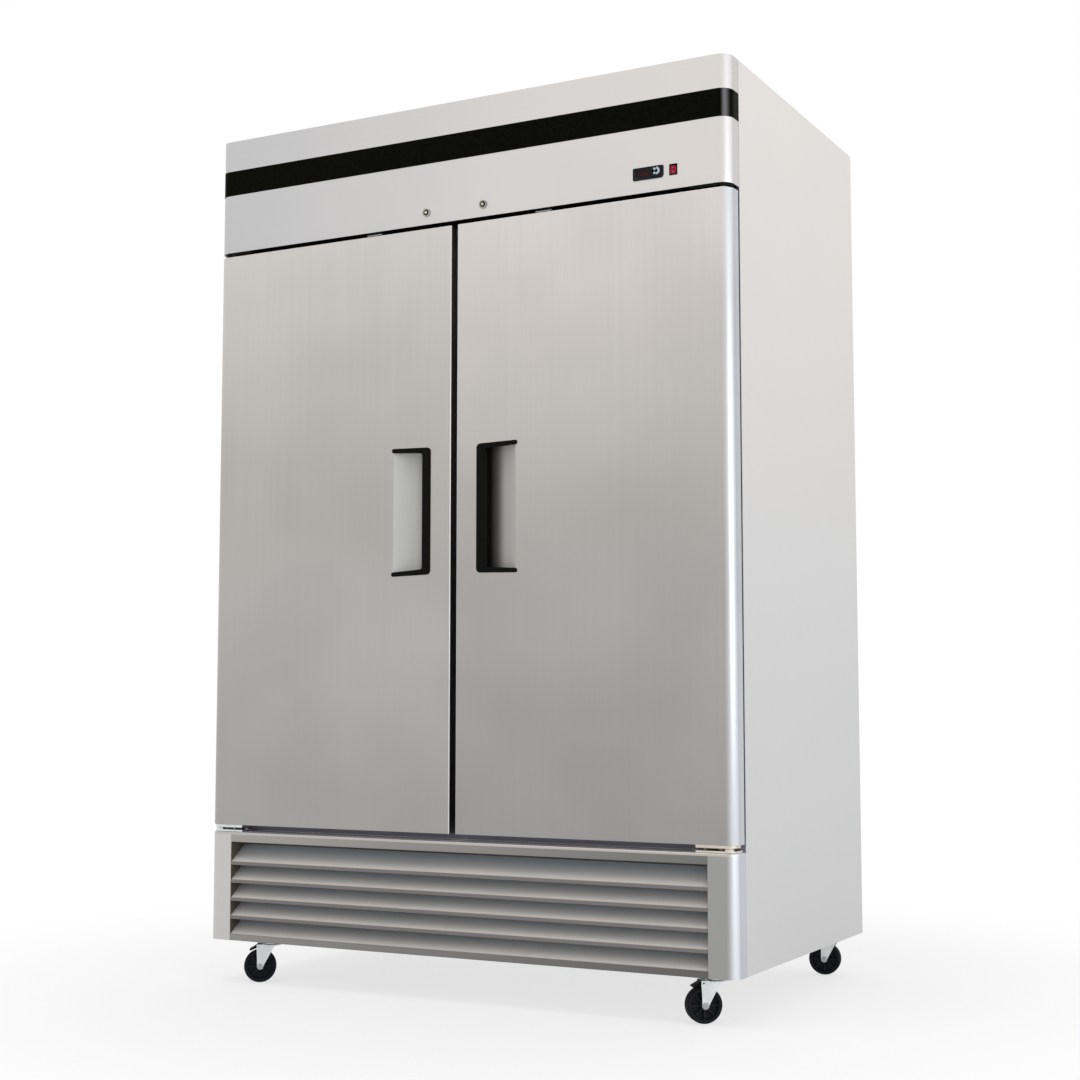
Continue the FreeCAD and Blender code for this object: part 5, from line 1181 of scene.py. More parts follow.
WHEEL_RUBBER = Moulded("wheel rubber", "wheel_rubber", (0.010, 0.0135, 0.018), 0.5, worn=(0.035, 0.035, 0.04),
                       gloss=0.1)
TREAD_RUBBER = Moulded("tread rubber", "wheel_rubber", (0.014, 0.014, 0.017), 0.65, worn=(0.05, 0.045, 0.04),
                       texture_scale=900.0, dusty=0.25, gloss=0.05)

BY_SLOT: dict[str, Finish] = {finish.slot: finish for finish in (
    DOOR_STEEL, SIDE_SHEET, GALVANISED, FOAM, LINER_METAL, BREAKER, BAND, CHROME, BRASS, CASE_PLASTIC,
    DISPLAY, KEY_PLASTIC, ROCKER_RED, BLACK_PLASTIC, GASKET_RUBBER, ZINC, SHELF_COATING, FINS,
    MOTOR_PAINT, COMPRESSOR_PAINT, FAN_METAL, WHEEL_RUBBER)}
BY_NODE: dict[str, Finish] = {
    "upper_hinges": SHADED_ZINC, "lower_hinges": HINGE_ZINC, "door_switches": SWITCH_TONES}


# The freezer's sub-assemblies

# Places that several pieces share, from the middle, the header's lower edge or the front plane
LOCK_X, LOCK_RISE = 77.0 * MM, 29.0 * MM
CONTROLLER_X, SWITCH_X, PANEL_RISE = 498.0 * MM, 558.4 * MM, 43.5 * MM
HINGE_X, HINGE_DEPTH, HINGE_BORE = 669.0 * MM, 16.0 * MM, 5.1 * MM
# How far a hole or a cutter reaches past the sheet that it opens
OVERRUN = 10.0 * MM


@dataclass(frozen=True)
class Planes:
    """The planes and levels that the pieces share, read from the CAD model's own boxes."""

    front: float
    box_front: float
    back: float
    half: float
    header_low: float
    top: float
    door_low: float
    door_high: float
    grille_low: float
    grille_high: float

    @classmethod
    def read(cls) -> "Planes":
        """Reads them from the boxes of the panels, doors, header and grille."""
        side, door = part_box("side_panel_right"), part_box("door_right_skin")
        header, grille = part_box("header_fascia"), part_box("grille_frame")
        return cls(front=door[0][1], box_front=side[0][1], back=side[1][1], half=side[1][0],
                   header_low=header[0][2], top=side[1][2], door_low=door[0][2], door_high=door[1][2],
                   grille_low=grille[0][2], grille_high=grille[1][2])


def lock_slot(planes: Planes, low: float, high: float) -> Box:
    """The slot that the right lock's cam sweeps through, from one height to another."""
    near, far = 70.5 * MM, 127.0 * MM
    behind, width = 12.3 * MM, 6.5 * MM
    y_low = planes.front + behind
    return Box((near, y_low, low), (far, y_low + width, high))


def hinge_plate(planes: Planes, depth: float, heights: tuple[float, float, float]) -> Surface:
    """The right lower hinge's plate, with a wide arc round the pin and its outer edge drawn in.

    The last outline is m + 0.99 (p - m), for the points p and their middle m.

    Args:
        planes: the shared planes.
        depth: how far behind the front plane it ends.
        heights: where it is seated, where its edge begins to draw in, and its outer face.

    Returns:
        The plate.
    """
    outline = rounded_loop((596.0 * MM, planes.front + 3.0 * MM), (688.0 * MM, planes.front + depth),
                           in_mm([3.0, 27.0, 3.0, 3.0]), 8)
    middle = outline.mean(axis=0)
    seat, edge, face = heights
    return loft([lying_flat(outline, seat), lying_flat(outline, edge),
                 lying_flat((outline - middle) * 0.99 + middle, face)])


@dataclass
class Header:
    """The folded header with its wrapped dark band."""

    planes: Planes
    band_stand: float = 0.6 * MM
    corner: float = 30.0 * MM
    rim: float = 1.0 * MM
    sheet: float = 1.2 * MM
    band_edge: float = 0.15 * MM
    lock_half: float = 7.3 * MM
    windows: tuple[tuple[float, float, float], ...] = (
        (CONTROLLER_X, 34.8 * MM, 12.05 * MM), (SWITCH_X, 8.3 * MM, 11.3 * MM))

    def holes(self) -> list[Box]:
        """The front's openings for the locks, the controller and the switch."""
        planes = self.planes
        low, high = planes.front - OVERRUN, planes.front + OVERRUN
        found = []
        for side in Side:
            x, z = side.value * LOCK_X, planes.header_low + LOCK_RISE
            found.append(Box((x - self.lock_half, low, z - self.lock_half),
                             (x + self.lock_half, high, z + self.lock_half)))
        z = planes.header_low + PANEL_RISE
        for x, half, rise in self.windows:
            found.append(Box((x - half, low, z - rise), (x + half, high, z + rise)))
        return found

    def fascia(self) -> Surface:
        """The front, ends and floor of the header as one folded sheet."""
        planes = self.planes
        reach = planes.half - self.band_stand
        holes = self.holes()
        slot = lock_slot(planes, planes.header_low - OVERRUN, planes.header_low + OVERRUN)
        slots = [slot, slot.mirrored()]
        breaks = sorted({hole.low[0] for hole in holes + slots} | {hole.high[0] for hole in holes + slots})
        levels = sorted({hole.low[2] for hole in holes} | {hole.high[2] for hole in holes})
        plan = Plan(-reach, reach, planes.front, planes.box_front, self.corner, self.corner, tuple(breaks))
        wall = plan.wall(planes.header_low, planes.top, (self.rim, 0.0), levels, holes)
        floor = plan.cap(planes.header_low, self.rim, (slot.low[1], slot.high[1]), slots)
        return wall.plus(floor.finished(1))

    def band(self) -> Surface:
        """The dark band, standing a little proud, with its two thin edges."""
        planes = self.planes
        low, high = (corner[2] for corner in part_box("header_band"))
        corner = self.corner + self.band_stand
        plan = Plan(-planes.half, planes.half, planes.front - self.band_stand, planes.box_front,
                    corner, corner, (0.0,), 18)
        base, normal = plan.line()
        edge = self.band_edge
        inset = np.array([self.band_stand, edge, 0.0, 0.0, edge, self.band_stand])
        height = np.array([low, low, low + edge, high - edge, high, high])
        flat = base[None] - normal[None] * inset[:, None, None]
        return grid(lying_flat(flat, height[:, None]))

    def build(self) -> None:
        """Makes the header's pieces."""
        make("header_front", self.fascia(), [HEADER_STEEL, SHADOW_STEEL], node="header_fascia",
             wall=self.sheet)
        make("header_dark_band", self.band(), [BAND], node="header_band")


@dataclass
class Locks:
    """The two key locks: a fixed ring and barrel, and the plug that turns with its cam."""

    planes: Planes
    offset: float = LOCK_X
    rise: float = LOCK_RISE

    def ring(self, side: Side) -> Surface:
        """The face ring with its barrel, turned about the lock's axis."""
        edge = [(9.5 + math.sin(a), -2.0 - math.cos(a)) for a in np.radians([0, 22, 45, 68, 90])]
        pairs = [(6.1, 14.0), (6.1, -2.0), (6.7, -2.7), (7.6, -3.0), *edge,
                 (10.5, 0.0), (8.0, 0.0), (8.0, 14.0), (6.1, 14.0)]
        centre = (side.value * self.offset, self.planes.front, self.planes.header_low + self.rise)
        return lathe(in_mm(pairs), centre, "y", 56)

    def build(self) -> None:
        """Makes both rings as one piece, and smooths the plugs."""
        rings = self.ring(Side.LEFT).plus(self.ring(Side.RIGHT))
        make("lock_rings", rings, [LOCK_PLATE], node="lock_barrels")
        for side in Side:
            smoothed("lock_plug_" + side.word, BRASS)


@dataclass
class Controller:
    """The digital controller: case, display window with unlit digits, and three keys."""

    planes: Planes
    centre: float = CONTROLLER_X
    rise: float = PANEL_RISE
    half: tuple[float, float] = (37.0 * MM, 14.25 * MM)
    stand: float = 2.4 * MM
    radii: tuple[float, ...] = (3.0 * MM, 8.0 * MM, 3.0 * MM, 3.0 * MM)
    keypad: tuple[float, float] = (20.0 * MM, 2.4 * MM)

    def middle(self) -> tuple[float, float]:
        """The case's middle, as x and z."""
        return self.centre, self.planes.header_low + self.rise

    def case(self) -> Surface:
        """The case: a rounded frame with a soft front edge on a narrower body."""
        x, z = self.middle()
        front = self.planes.front
        half_x, half_z = self.half
        edge = 0.9 * MM
        quarter = np.radians(np.linspace(0.0, 90.0, 4))
        insets = np.concatenate([[2.5 * MM, 2.5 * MM, 0.0], edge * (1.0 - np.cos(quarter)), [1.6 * MM]])
        depths = np.concatenate([[42.0 * MM, 0.0, 0.0], edge - self.stand - edge * np.sin(quarter),
                                 [-self.stand]])
        rings = [facing_front(rounded_loop((x - half_x + inset, z - half_z + inset),
                                           (x + half_x - inset, z + half_z - inset),
                                           [max(radius - inset, 0.3 * MM) for radius in self.radii], 8),
                              front + depth) for inset, depth in zip(insets, depths)]
        return loft(rings)

    def pad_middle(self) -> tuple[float, float]:
        """The keypad's middle, as x and z."""
        x, z = self.middle()
        return x + self.keypad[0], z + self.keypad[1]

    def round_key(self, way: int) -> Surface:
        """A round key with a softly domed face."""
        x, z = self.pad_middle()
        centre = (x - 4.0 * MM, self.planes.front, z + way * 4.8 * MM)
        pairs = [(0.0, 1.4), (2.75, 1.4), (2.75, -2.7), (2.6, -3.0), (2.3, -3.14), (1.4, -3.2), (0.0, -3.2)]
        return lathe(in_mm(pairs), centre, "y", 36)

    def crescent(self) -> Surface:
        """The crescent key: a half ring from 4.2 to 8.6 mm."""
        x, z = self.pad_middle()
        turn = np.radians(np.linspace(-88.0, 88.0, 25))[:, None]
        way = np.concatenate([np.cos(turn), np.sin(turn)], axis=1)
        outline = np.concatenate([way * 8.6 * MM, way[::-1] * 4.2 * MM]) + np.array([x, z])
        front = self.planes.front
        return prism(outline, front - 3.2 * MM, front + 1.4 * MM, "y")

    def digits(self) -> Surface:
        """Three seven-segment digits and two lamps, as thin slabs at the window's face."""
        low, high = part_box("display_window")
        face, level = low[1], (low[2] + high[2]) / 2.0
        width, height, bar, gap = in_mm([6.2, 11.0, 1.15, 0.25])
        first, pitch, lean = 8.2, 9.0, 0.08
        bars = [(0, up, False) for up in (1, 0, -1)]
        bars += [(across, up, True) for up in (0.5, -0.5) for across in (-1, 1)]
        made: list[Surface] = []
        for number in range(3):
            x = low[0] + (first + pitch * number) * MM
            for across, up, upright in bars:
                middle = np.array([x + across * (width - bar) / 2.0, level + up * (height - bar) / 2.0])
                long = (height - bar) / 4.0 - gap if upright else (width - bar) / 2.0 - gap
                tip = bar / 2.0
                shape = np.array([[-long - tip * 0.6, 0], [-long, -tip], [long, -tip],
                                  [long + tip * 0.6, 0], [long, tip], [-long, tip]])
                outline = middle + (shape[:, ::-1] if upright else shape)
                outline[:, 0] += (outline[:, 1] - level) * lean
                made.append(prism(outline, face - 0.12 * MM, face + 0.2 * MM, "y"))
        lamp = in_mm([(0.0, 0.2), (0.8, 0.2), (0.8, -0.1), (0.0, -0.12)])
        for z in (level + 3.0 * MM, level - 3.0 * MM):
            made.append(lathe(lamp, (low[0] + 2.6 * MM, face, z), "y", 16))
        return made[0].plus(*made[1:])

    def build(self) -> None:
        """Makes the case, window, digits and keys."""
        case = make("controller_case", self.case(), [CASE_PLASTIC], node="controller_bezel")
        low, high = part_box("display_window")
        window = rounded_loop((low[0], low[2]), (high[0], high[2]), 0.5 * MM, 3)
        front = self.planes.front
        carve(case, loft([facing_front(window, front - OVERRUN), facing_front(window, high[1])]))
        x, z = self.pad_middle()
        well = in_mm([(0.0, -10.0), (9.75, -10.0), (9.75, 3.0), (0.0, 3.0)])
        hub = in_mm([(0.0, -2.35), (2.6, -2.35), (3.4, -1.8), (3.4, 3.2), (0.0, 3.2)])
        carve(case, lathe(well, (x, front, z), "y", 48))
        make("keypad_hub", lathe(hub, (x, front, z), "y", 40), [CASE_PLASTIC])
        middle = window.mean(axis=0)
        pane = loft([facing_front(window, high[1]), facing_front(window, low[1] + 0.2 * MM),
                     facing_front((window - middle) * 0.985 + middle, low[1])])
        make("display_pane", pane, [DISPLAY], node="display_window")
        make("display_digits", self.digits(), [DIGITS])
        make("upper_key", self.round_key(1), [KEY_PLASTIC], "key_upper", "key_upper")
        make("lower_key", self.round_key(-1), [KEY_PLASTIC], "key_lower", "key_lower")
        make("crescent_key", self.crescent(), [KEY_PLASTIC], "key_crescent", "key_crescent",
             bevel=0.35 * MM)


@dataclass
class RockerSwitch:
    """The red rocker in its black frame."""

    planes: Planes
    centre: float = SWITCH_X
    rise: float = PANEL_RISE
    pivot: float = 5.0 * MM
    half: float = 8.8 * MM
    reach: float = 7.3 * MM
    waist: float = 0.8 * MM
    hollow: float = 1.8 * MM
    tilt: float = 8.0

    def tilted(self, outline: Array) -> Array:
        """Side outlines turned about the rocker's pin by the resting tilt."""
        y, z = self.planes.front + self.pivot, self.planes.header_low + self.rise
        angle = math.radians(self.tilt)
        c, s = math.cos(angle), math.sin(angle)
        moved = outline - np.array([y, z])
        return moved @ np.array([[c, s], [-s, c]]) + np.array([y, z])

    def rocker(self) -> Surface:
        """The rocker's side outline, its front a shallow hollow, carried across the frame.

        The front stands waist + hollow s^2 before the header, for s from -1 at the foot to 1 at the head.
        """
        front, z = self.planes.front, self.planes.header_low + self.rise
        share = np.linspace(-1.0, 1.0, 15)
        face = front - self.waist - self.hollow * share ** 2
        outline = np.concatenate([np.stack([face, z + self.half * share], axis=1),
                                  [[front + 5.0 * MM, z + self.half], [front + 8.2 * MM, z + 6.8 * MM],
                                   [front + 8.2 * MM, z - 6.8 * MM], [front + 5.0 * MM, z - self.half]]])
        return prism(self.tilted(outline), self.centre - self.reach, self.centre + self.reach, "x")

    def marks(self) -> Surface:
        """The two pale marks for on and off, a bar and a ring, laid on the hollow front."""
        front, z, share = self.planes.front, self.planes.header_low + self.rise, 0.6
        face = front - self.waist - self.hollow * share ** 2 - 0.05 * MM
        bar = rounded_loop((self.centre - 0.5 * MM, z + 3.4 * MM), (self.centre + 0.5 * MM, z + 7.2 * MM),
                           0.3 * MM, 3)
        upper = loft([facing_front(bar, front), facing_front(bar, face - 0.25 * MM)])
        ring = in_mm([(1.1, 0.9), (1.1, -0.45), (1.9, -0.45), (1.9, 0.9), (1.1, 0.9)])
        lower = lathe(ring, (self.centre, face + 0.2 * MM, z - 5.3 * MM), "y", 32)
        both = upper.plus(lower)
        flat = self.tilted(both.points[:, 1:])
        return Surface(np.concatenate([both.points[:, :1], flat], axis=1), both.faces)

    def build(self) -> None:
        """Makes the frame, rocker and marks."""
        front, z = self.planes.front, self.planes.header_low + self.rise
        half_x, half_z = 9.5 * MM, 12.5 * MM
        rings = []
        # How far the outline is brought in, and its depth, in millimetres
        for inset, depth in ((1.5, 24.0), (1.5, 0.0), (0.0, 0.0), (0.0, -1.1), (0.15, -1.45), (0.5, -1.6)):
            low = (self.centre - half_x + inset * MM, z - half_z + inset * MM)
            high = (self.centre + half_x - inset * MM, z + half_z - inset * MM)
            rings.append(facing_front(rounded_loop(low, high, 1.2 * MM, 5), front + depth * MM))
        frame_piece = make("switch_surround", loft(rings), [BLACK_PLASTIC], node="switch_frame")
        wide, tall, deep = in_mm([7.7, 10.7, 16.8])
        room = rounded_loop((self.centre - wide, z - tall), (self.centre + wide, z + tall), 0.6 * MM, 4)
        carve(frame_piece, loft([facing_front(room, front - OVERRUN), facing_front(room, front + deep)]))
        make("red_rocker", self.rocker(), [ROCKER_RED], "power_rocker", "power_rocker", bevel=0.5 * MM)
        make("rocker_marks", self.marks(), [MARK_PAINT], "power_rocker")


@dataclass
class Door:
    """A door: folded skin with its finger scoop, handle bracket, gasket, liner pan and fittings."""

    side: Side
    planes: Planes
    gap: float = 16.0 * MM
    thickness: float = 48.0 * MM
    corner: float = 30.0 * MM
    free_corner: float = 3.0 * MM
    rim: float = 1.0 * MM
    sheet: float = 1.2 * MM
    scoop_x: tuple[float, float] = (66.0 * MM, 164.0 * MM)
    scoop_z: tuple[float, float] = (976.0 * MM, 1268.0 * MM)
    scoop_depth: float = 32.0 * MM
    scoop_bend: float = 9.0 * MM
    handle_x: tuple[float, float] = (62.0 * MM, 168.0 * MM)
    handle_z: tuple[float, float] = (972.0 * MM, 1272.0 * MM)

    def placed(self, surface: Surface) -> Surface:
        """A surface drawn on the right door, put on this door."""
        return surface if self.side is Side.RIGHT else surface.mirrored()

    def name(self, word: str) -> str:
        """A piece's name on this door."""
        return f"{self.side.word}_door_{word}"

    def node(self, word: str) -> str:
        """A CAD node's name on this door."""
        return f"door_{self.side.word}_{word}"

    def span(self, word: str) -> tuple[float, float, float, float]:
        """A node's box as on the right door: nearest and farthest X, least and greatest Z."""
        low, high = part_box(self.node(word))
        near, far = sorted((abs(low[0]), abs(high[0])))
        return near, far, low[2], high[2]

    def skin(self) -> Surface:
        """The folded skin: rounded walls, top and bottom sheets, and the scoop pressed into its front."""
        planes = self.planes
        slot = lock_slot(planes, planes.door_high - OVERRUN, planes.door_high + OVERRUN)
        near, far = self.scoop_x
        low, high = self.scoop_z
        hole = Box((near, planes.front - OVERRUN, low), (far, planes.front + OVERRUN, high))
        plan = Plan(self.gap / 2.0, planes.half, planes.front, planes.front + self.thickness,
                    self.free_corner, self.corner, (near, slot.low[0], slot.high[0], far), 18)
        wall = plan.wall(planes.door_low, planes.door_high, (self.rim, self.rim), (low, high), [hole])
        top = plan.cap(planes.door_high, self.rim, (slot.low[1], slot.high[1]), [slot])
        bottom = plan.cap(planes.door_low, self.rim)
        return wall.plus(top, bottom, self.scoop())

    def scoop(self) -> Surface:
        """The finger scoop: steep by the bar, a round bend, and a floor that runs out to the face.

        The floor's depth is D (1 - s^2.5) for the share s of its run.
        """
        front = self.planes.front
        near, far = self.scoop_x
        bend, deep = self.scoop_bend, front + self.scoop_depth
        turn = np.radians(np.linspace(180.0, 90.0, 9))
        arc = np.stack([near + bend + bend * np.cos(turn), deep - bend + bend * np.sin(turn)], axis=1)
        share = np.linspace(0.0, 1.0, 25)[1:]
        run = np.stack([near + bend + (far - near - bend) * share,
                        front + self.scoop_depth * (1.0 - share ** 2.5)], axis=1)
        section = np.concatenate([[[near, front]], arc, run])
        floor = grid(lying_flat(section[None], np.array(self.scoop_z)[:, None]))
        slot = lock_slot(self.planes, 0.0, 0.0)
        rim = np.concatenate([section, [[slot.high[0], front], [slot.low[0], front]]])
        count = len(rim)
        ends = Surface(lying_flat(rim[None], np.array(self.scoop_z)[:, None]).reshape(-1, 3),
                       [list(range(count)), list(range(2 * count - 1, count - 1, -1))])
        return floor.plus(ends).finished(1)

    def handle(self) -> Surface:
        """The bracket: a U with rounded outer corners, slightly spread arms and a lip into the scoop."""
        (near, far), (low, high) = self.handle_x, self.handle_z
        spread = 1.3 * MM
        bar, root, tip = near + 22.0 * MM, 14.0 * MM, 10.0 * MM
        corners = [(near, low + spread), (far, low - spread), (far, low - spread + tip), (bar, low + root),
                   (bar, high - root), (far, high + spread - tip), (far, high + spread),
                   (near, high - spread)]
        radii = in_mm([10.0, 4.5, 4.5, 6.0, 6.0, 4.5, 4.5, 10.0])
        front = self.planes.front
        quarter = np.radians(np.linspace(0.0, 90.0, 4))
        edge, stand, foot = 1.1 * MM, 2.5 * MM, 4.3 * MM
        insets = np.concatenate([[foot, foot, 0.0], edge * (1.0 - np.cos(quarter))])
        depths = np.concatenate([[5.0 * MM, 0.0, 0.0], edge - stand - edge * np.sin(quarter)])
        return loft([facing_front(rounded_polygon(corners, radii, inset, 7), front + depth)
                     for inset, depth in zip(insets, depths)])

    def gasket(self) -> Surface:
        """The magnetic gasket's bellows, mitred round a rectangle."""
        section = in_mm([(0, 0), (20, 0), (20, 2.4), (17, 3), (14.6, 4), (17, 5), (18.6, 5.4), (18.6, 8.2),
                         (18, 8.7), (2, 8.7), (1.4, 8.2), (1.4, 5.4), (3, 5), (5.4, 4), (3, 3), (0, 2.4)])
        near, far, low, high = self.span("gasket")
        inset = section[:, :1]
        x = np.concatenate([near + inset, far - inset, far - inset, near + inset], axis=1)
        z = np.concatenate([low + inset, low + inset, high - inset, high - inset], axis=1)
        y = np.broadcast_to(self.planes.front + self.thickness + section[:, 1:], x.shape)
        return grid(np.stack([x, y, z], axis=-1), close_rows=True, close_columns=True)

    def liner(self) -> Surface:
        """The inner pan: a flat border, a raised middle with round edges, and a shallow pressed panel."""
        back = self.planes.front + self.thickness
        near, far, low, high = self.span("liner")
        border = 54.8 * MM
        outer = (near, low, far, high)
        raised = (48.0 * MM, low + border, 635.0 * MM, high - border)
        # A rectangle, how far it is brought in, its corner radius and its rise, these three in millimetres
        steps = [(outer, 0.0, 1.5, -1.5), (outer, 0.0, 1.5, 0.0), (raised, 0.0, 9.0, 0.0),
                 (raised, 0.4, 9.0, 0.6), (raised, 1.6, 8.0, 12.2), (raised, 2.3, 8.0, 13.4),
                 (raised, 4.0, 7.0, 14.0), (raised, 46.0, 24.0, 14.0), (raised, 49.0, 22.0, 13.5),
                 (raised, 52.0, 20.0, 13.1)]
        rings = []
        for (x_low, z_low, x_high, z_high), inset, radius, rise in steps:
            inset *= MM
            loop = rounded_loop((x_low + inset, z_low + inset), (x_high - inset, z_high - inset), radius * MM)
            rings.append(facing_front(loop, back + rise * MM))
        return loft(rings, cap_first=False)

    def fittings(self) -> Surface:
        """The hinge arm with its knuckle, the top bush's collar, and the keeper round the lock's slot."""
        planes, bore = self.planes, HINGE_BORE
        axis = (HINGE_X, planes.front + HINGE_DEPTH, 0.0)
        z = planes.door_low
        arm = hinge_plate(planes, 37.0 * MM, (z, z - 5.8 * MM, z - 6.3 * MM))
        split = (planes.grille_high + planes.door_low) / 2.0 + 0.3 * MM
        knuckle = lathe([(bore, z), (10.6 * MM, z), (11.0 * MM, z - 0.4 * MM), (11.0 * MM, split + 0.5 * MM),
                         (10.5 * MM, split), (bore, split), (bore, z)], axis, "z", 40)
        top = planes.door_high
        rise, ring = top + 1.5 * MM, 4.0 * MM
        collar = lathe([(bore, top), (bore, top + 1.2 * MM), (5.4 * MM, rise), (11.6 * MM, rise),
                        (12.0 * MM, top + 1.1 * MM), (12.0 * MM, top)], axis, "z", 40)
        slot = lock_slot(planes, top, top)
        outer = rounded_loop((slot.low[0] - ring, slot.low[1] - ring),
                             (slot.high[0] + ring, slot.high[1] + ring), 2.0 * MM, 4)
        inner = rounded_loop(slot.low[:2], slot.high[:2], 0.8 * MM, 4)
        keeper = grid(np.array([lying_flat(inner, top - 1.0 * MM), lying_flat(inner, rise),
                                lying_flat(outer, rise), lying_flat(outer, top)]), close_columns=True)
        return arm.plus(knuckle, collar, keeper)

    def build(self) -> None:
        """Makes the door's pieces, which all swing with the door."""
        right = self.side is Side.RIGHT
        # The left door's steel carries its own painted light
        steel, zinc = (DOOR_STEEL, HINGE_ZINC) if right else (LEFT_DOOR_LIT_STEEL, ZINC)
        self.hang("skin", self.skin(), [steel, SCOOP_STEEL], "skin", wall=self.sheet)
        self.hang("bracket", self.handle(), [BLACK_PLASTIC], "handle", smooth=50.0)
        self.hang("bellows", self.gasket(), [GASKET_RUBBER], "gasket")
        self.hang("inner_pan", self.liner(), [LINER_METAL], "liner")
        self.hang("hinge_arm", self.fittings(), [zinc], "fittings")

    def hang(self, word: str, surface: Surface, finishes: Sequence[Finish], node: str,
             **options: float) -> None:
        """Makes one of the door's pieces.

        Args:
            word: the last words of its name.
            surface: its surface, as on the right door.
            finishes: its finishes.
            node: the last word of the node that it replaces.
            options: what else is said to make.
        """
        make(self.name(word), self.placed(surface), finishes, "door_" + self.side.word, self.node(node),
             **options)


@dataclass
class Grille:
    """The louvred front of the machine compartment: rails, rounded end caps and sloped blades."""

    planes: Planes
    cap_width: float = 66.0 * MM
    corner: float = 30.0 * MM
    sheet: float = 1.2 * MM
    top_rail: float = 25.0 * MM
    ledge_face: float = 7.0 * MM
    bottom_rail: float = 14.5 * MM
    blade_count: int = 5
    pitch: float = 43.2 * MM
    lip: float = 6.0 * MM
    rise: float = 40.0 * MM
    setback: float = 3.0 * MM

    def end_cap(self) -> Surface:
        """The right end cap: a folded post with a large rounded corner."""
        planes = self.planes
        plan = Plan(planes.half - self.cap_width, planes.half, planes.front, planes.box_front,
                    1.0 * MM, self.corner, (), 18)
        return plan.wall(planes.grille_low, planes.grille_high - self.ledge_face)

    def ledge(self) -> Surface:
        """The flat ledge under the doors, with its front edge rolled down over the rail."""
        planes = self.planes
        plan = Plan(-planes.half, planes.half, planes.front, planes.box_front, self.corner, self.corner,
                    (), 18)
        high, rim = planes.grille_high, 5.0 * MM
        # The ledge's top gets the second finish, its painted light
        return plan.wall(high - self.ledge_face, high, (0.0, rim)).plus(plan.cap(high, rim).finished(1))

    def rails(self) -> Surface:
        """The folded faces of the top and the bottom rail, with the sheets of painted shade behind them."""
        planes = self.planes
        reach = planes.half - self.cap_width
        z_top = planes.grille_high - self.ledge_face
        z = planes.grille_high - self.top_rail
        upper = bent_strip([(planes.front + 12.0 * MM, z), (planes.front, z), (planes.front, z_top)],
                           [1.8 * MM], -self.sheet)
        z = planes.grille_low
        lower = bent_strip([(planes.box_front, z), (planes.front, z), (planes.front, z + self.bottom_rail)],
                           [1.8 * MM], -self.sheet)
        return prism(upper, -reach, reach, "x").plus(prism(lower, -reach, reach, "x").finished(1),
                                                     self.inside().finished(2))

    def inside(self) -> Surface:
        """Dark sheets of painted shade at the openings' two ends, and the ledge's rear hem behind the top
        blade, also in painted shade.
        """
        planes = self.planes
        reach = planes.half - self.cap_width
        high = planes.grille_high - self.top_rail
        end = rounded_loop((planes.front + 1.6 * MM, planes.grille_low + 1.4 * MM),
                           (planes.box_front - 3.0 * MM, high - 0.2 * MM), 0.5 * MM, 2)
        hem = rounded_loop((planes.box_front - 2.4 * MM, high - 10.0 * MM),
                           (planes.box_front - self.sheet, planes.grille_high - self.sheet), 0.4 * MM, 2)
        right = prism(end, reach - 0.28 * MM, reach - 0.03 * MM, "x")
        return right.plus(right.mirrored(), prism(hem, -reach, reach, "x"))

    def blades(self) -> Surface:
        """The sloped blades, all but the lowest with a lip folded down at the front."""
        planes = self.planes
        reach = planes.half - self.cap_width - 0.3 * MM
        first = planes.grille_low + self.bottom_rail
        depth = planes.box_front - self.setback
        made = []
        for number in range(self.blade_count):
            z = first + number * self.pitch
            if number == 0:
                corners, radii = [(planes.front + self.sheet, z), (depth, z + self.rise)], []
            else:
                corners = [(planes.front, z - self.lip), (planes.front, z), (depth, z + self.rise)]
                radii = [2.2 * MM]
            made.append(prism(bent_strip(corners, radii, -self.sheet), -reach, reach, "x"))
        return made[0].plus(*made[1:])

    def build(self) -> None:
        """Makes the end caps, the ledge, the rails with the sheets of painted shade behind them, and the
        blades.
        """
        cap = self.end_cap()
        make("grille_end_caps", cap.plus(cap.mirrored()), [CAP_STEEL], node="grille_frame",
             outward=False, wall=1.5 * MM)
        make("grille_ledge", self.ledge(), [LEDGE_STEEL, LEDGE_TOP_LIGHT], wall=self.sheet)
        make("grille_rails", self.rails(), [RAIL_STEEL, FOOT_STEEL, WALL_SHADE])
        make("grille_blades", self.blades(), [BLADE_STEEL], node="grille_louvres")


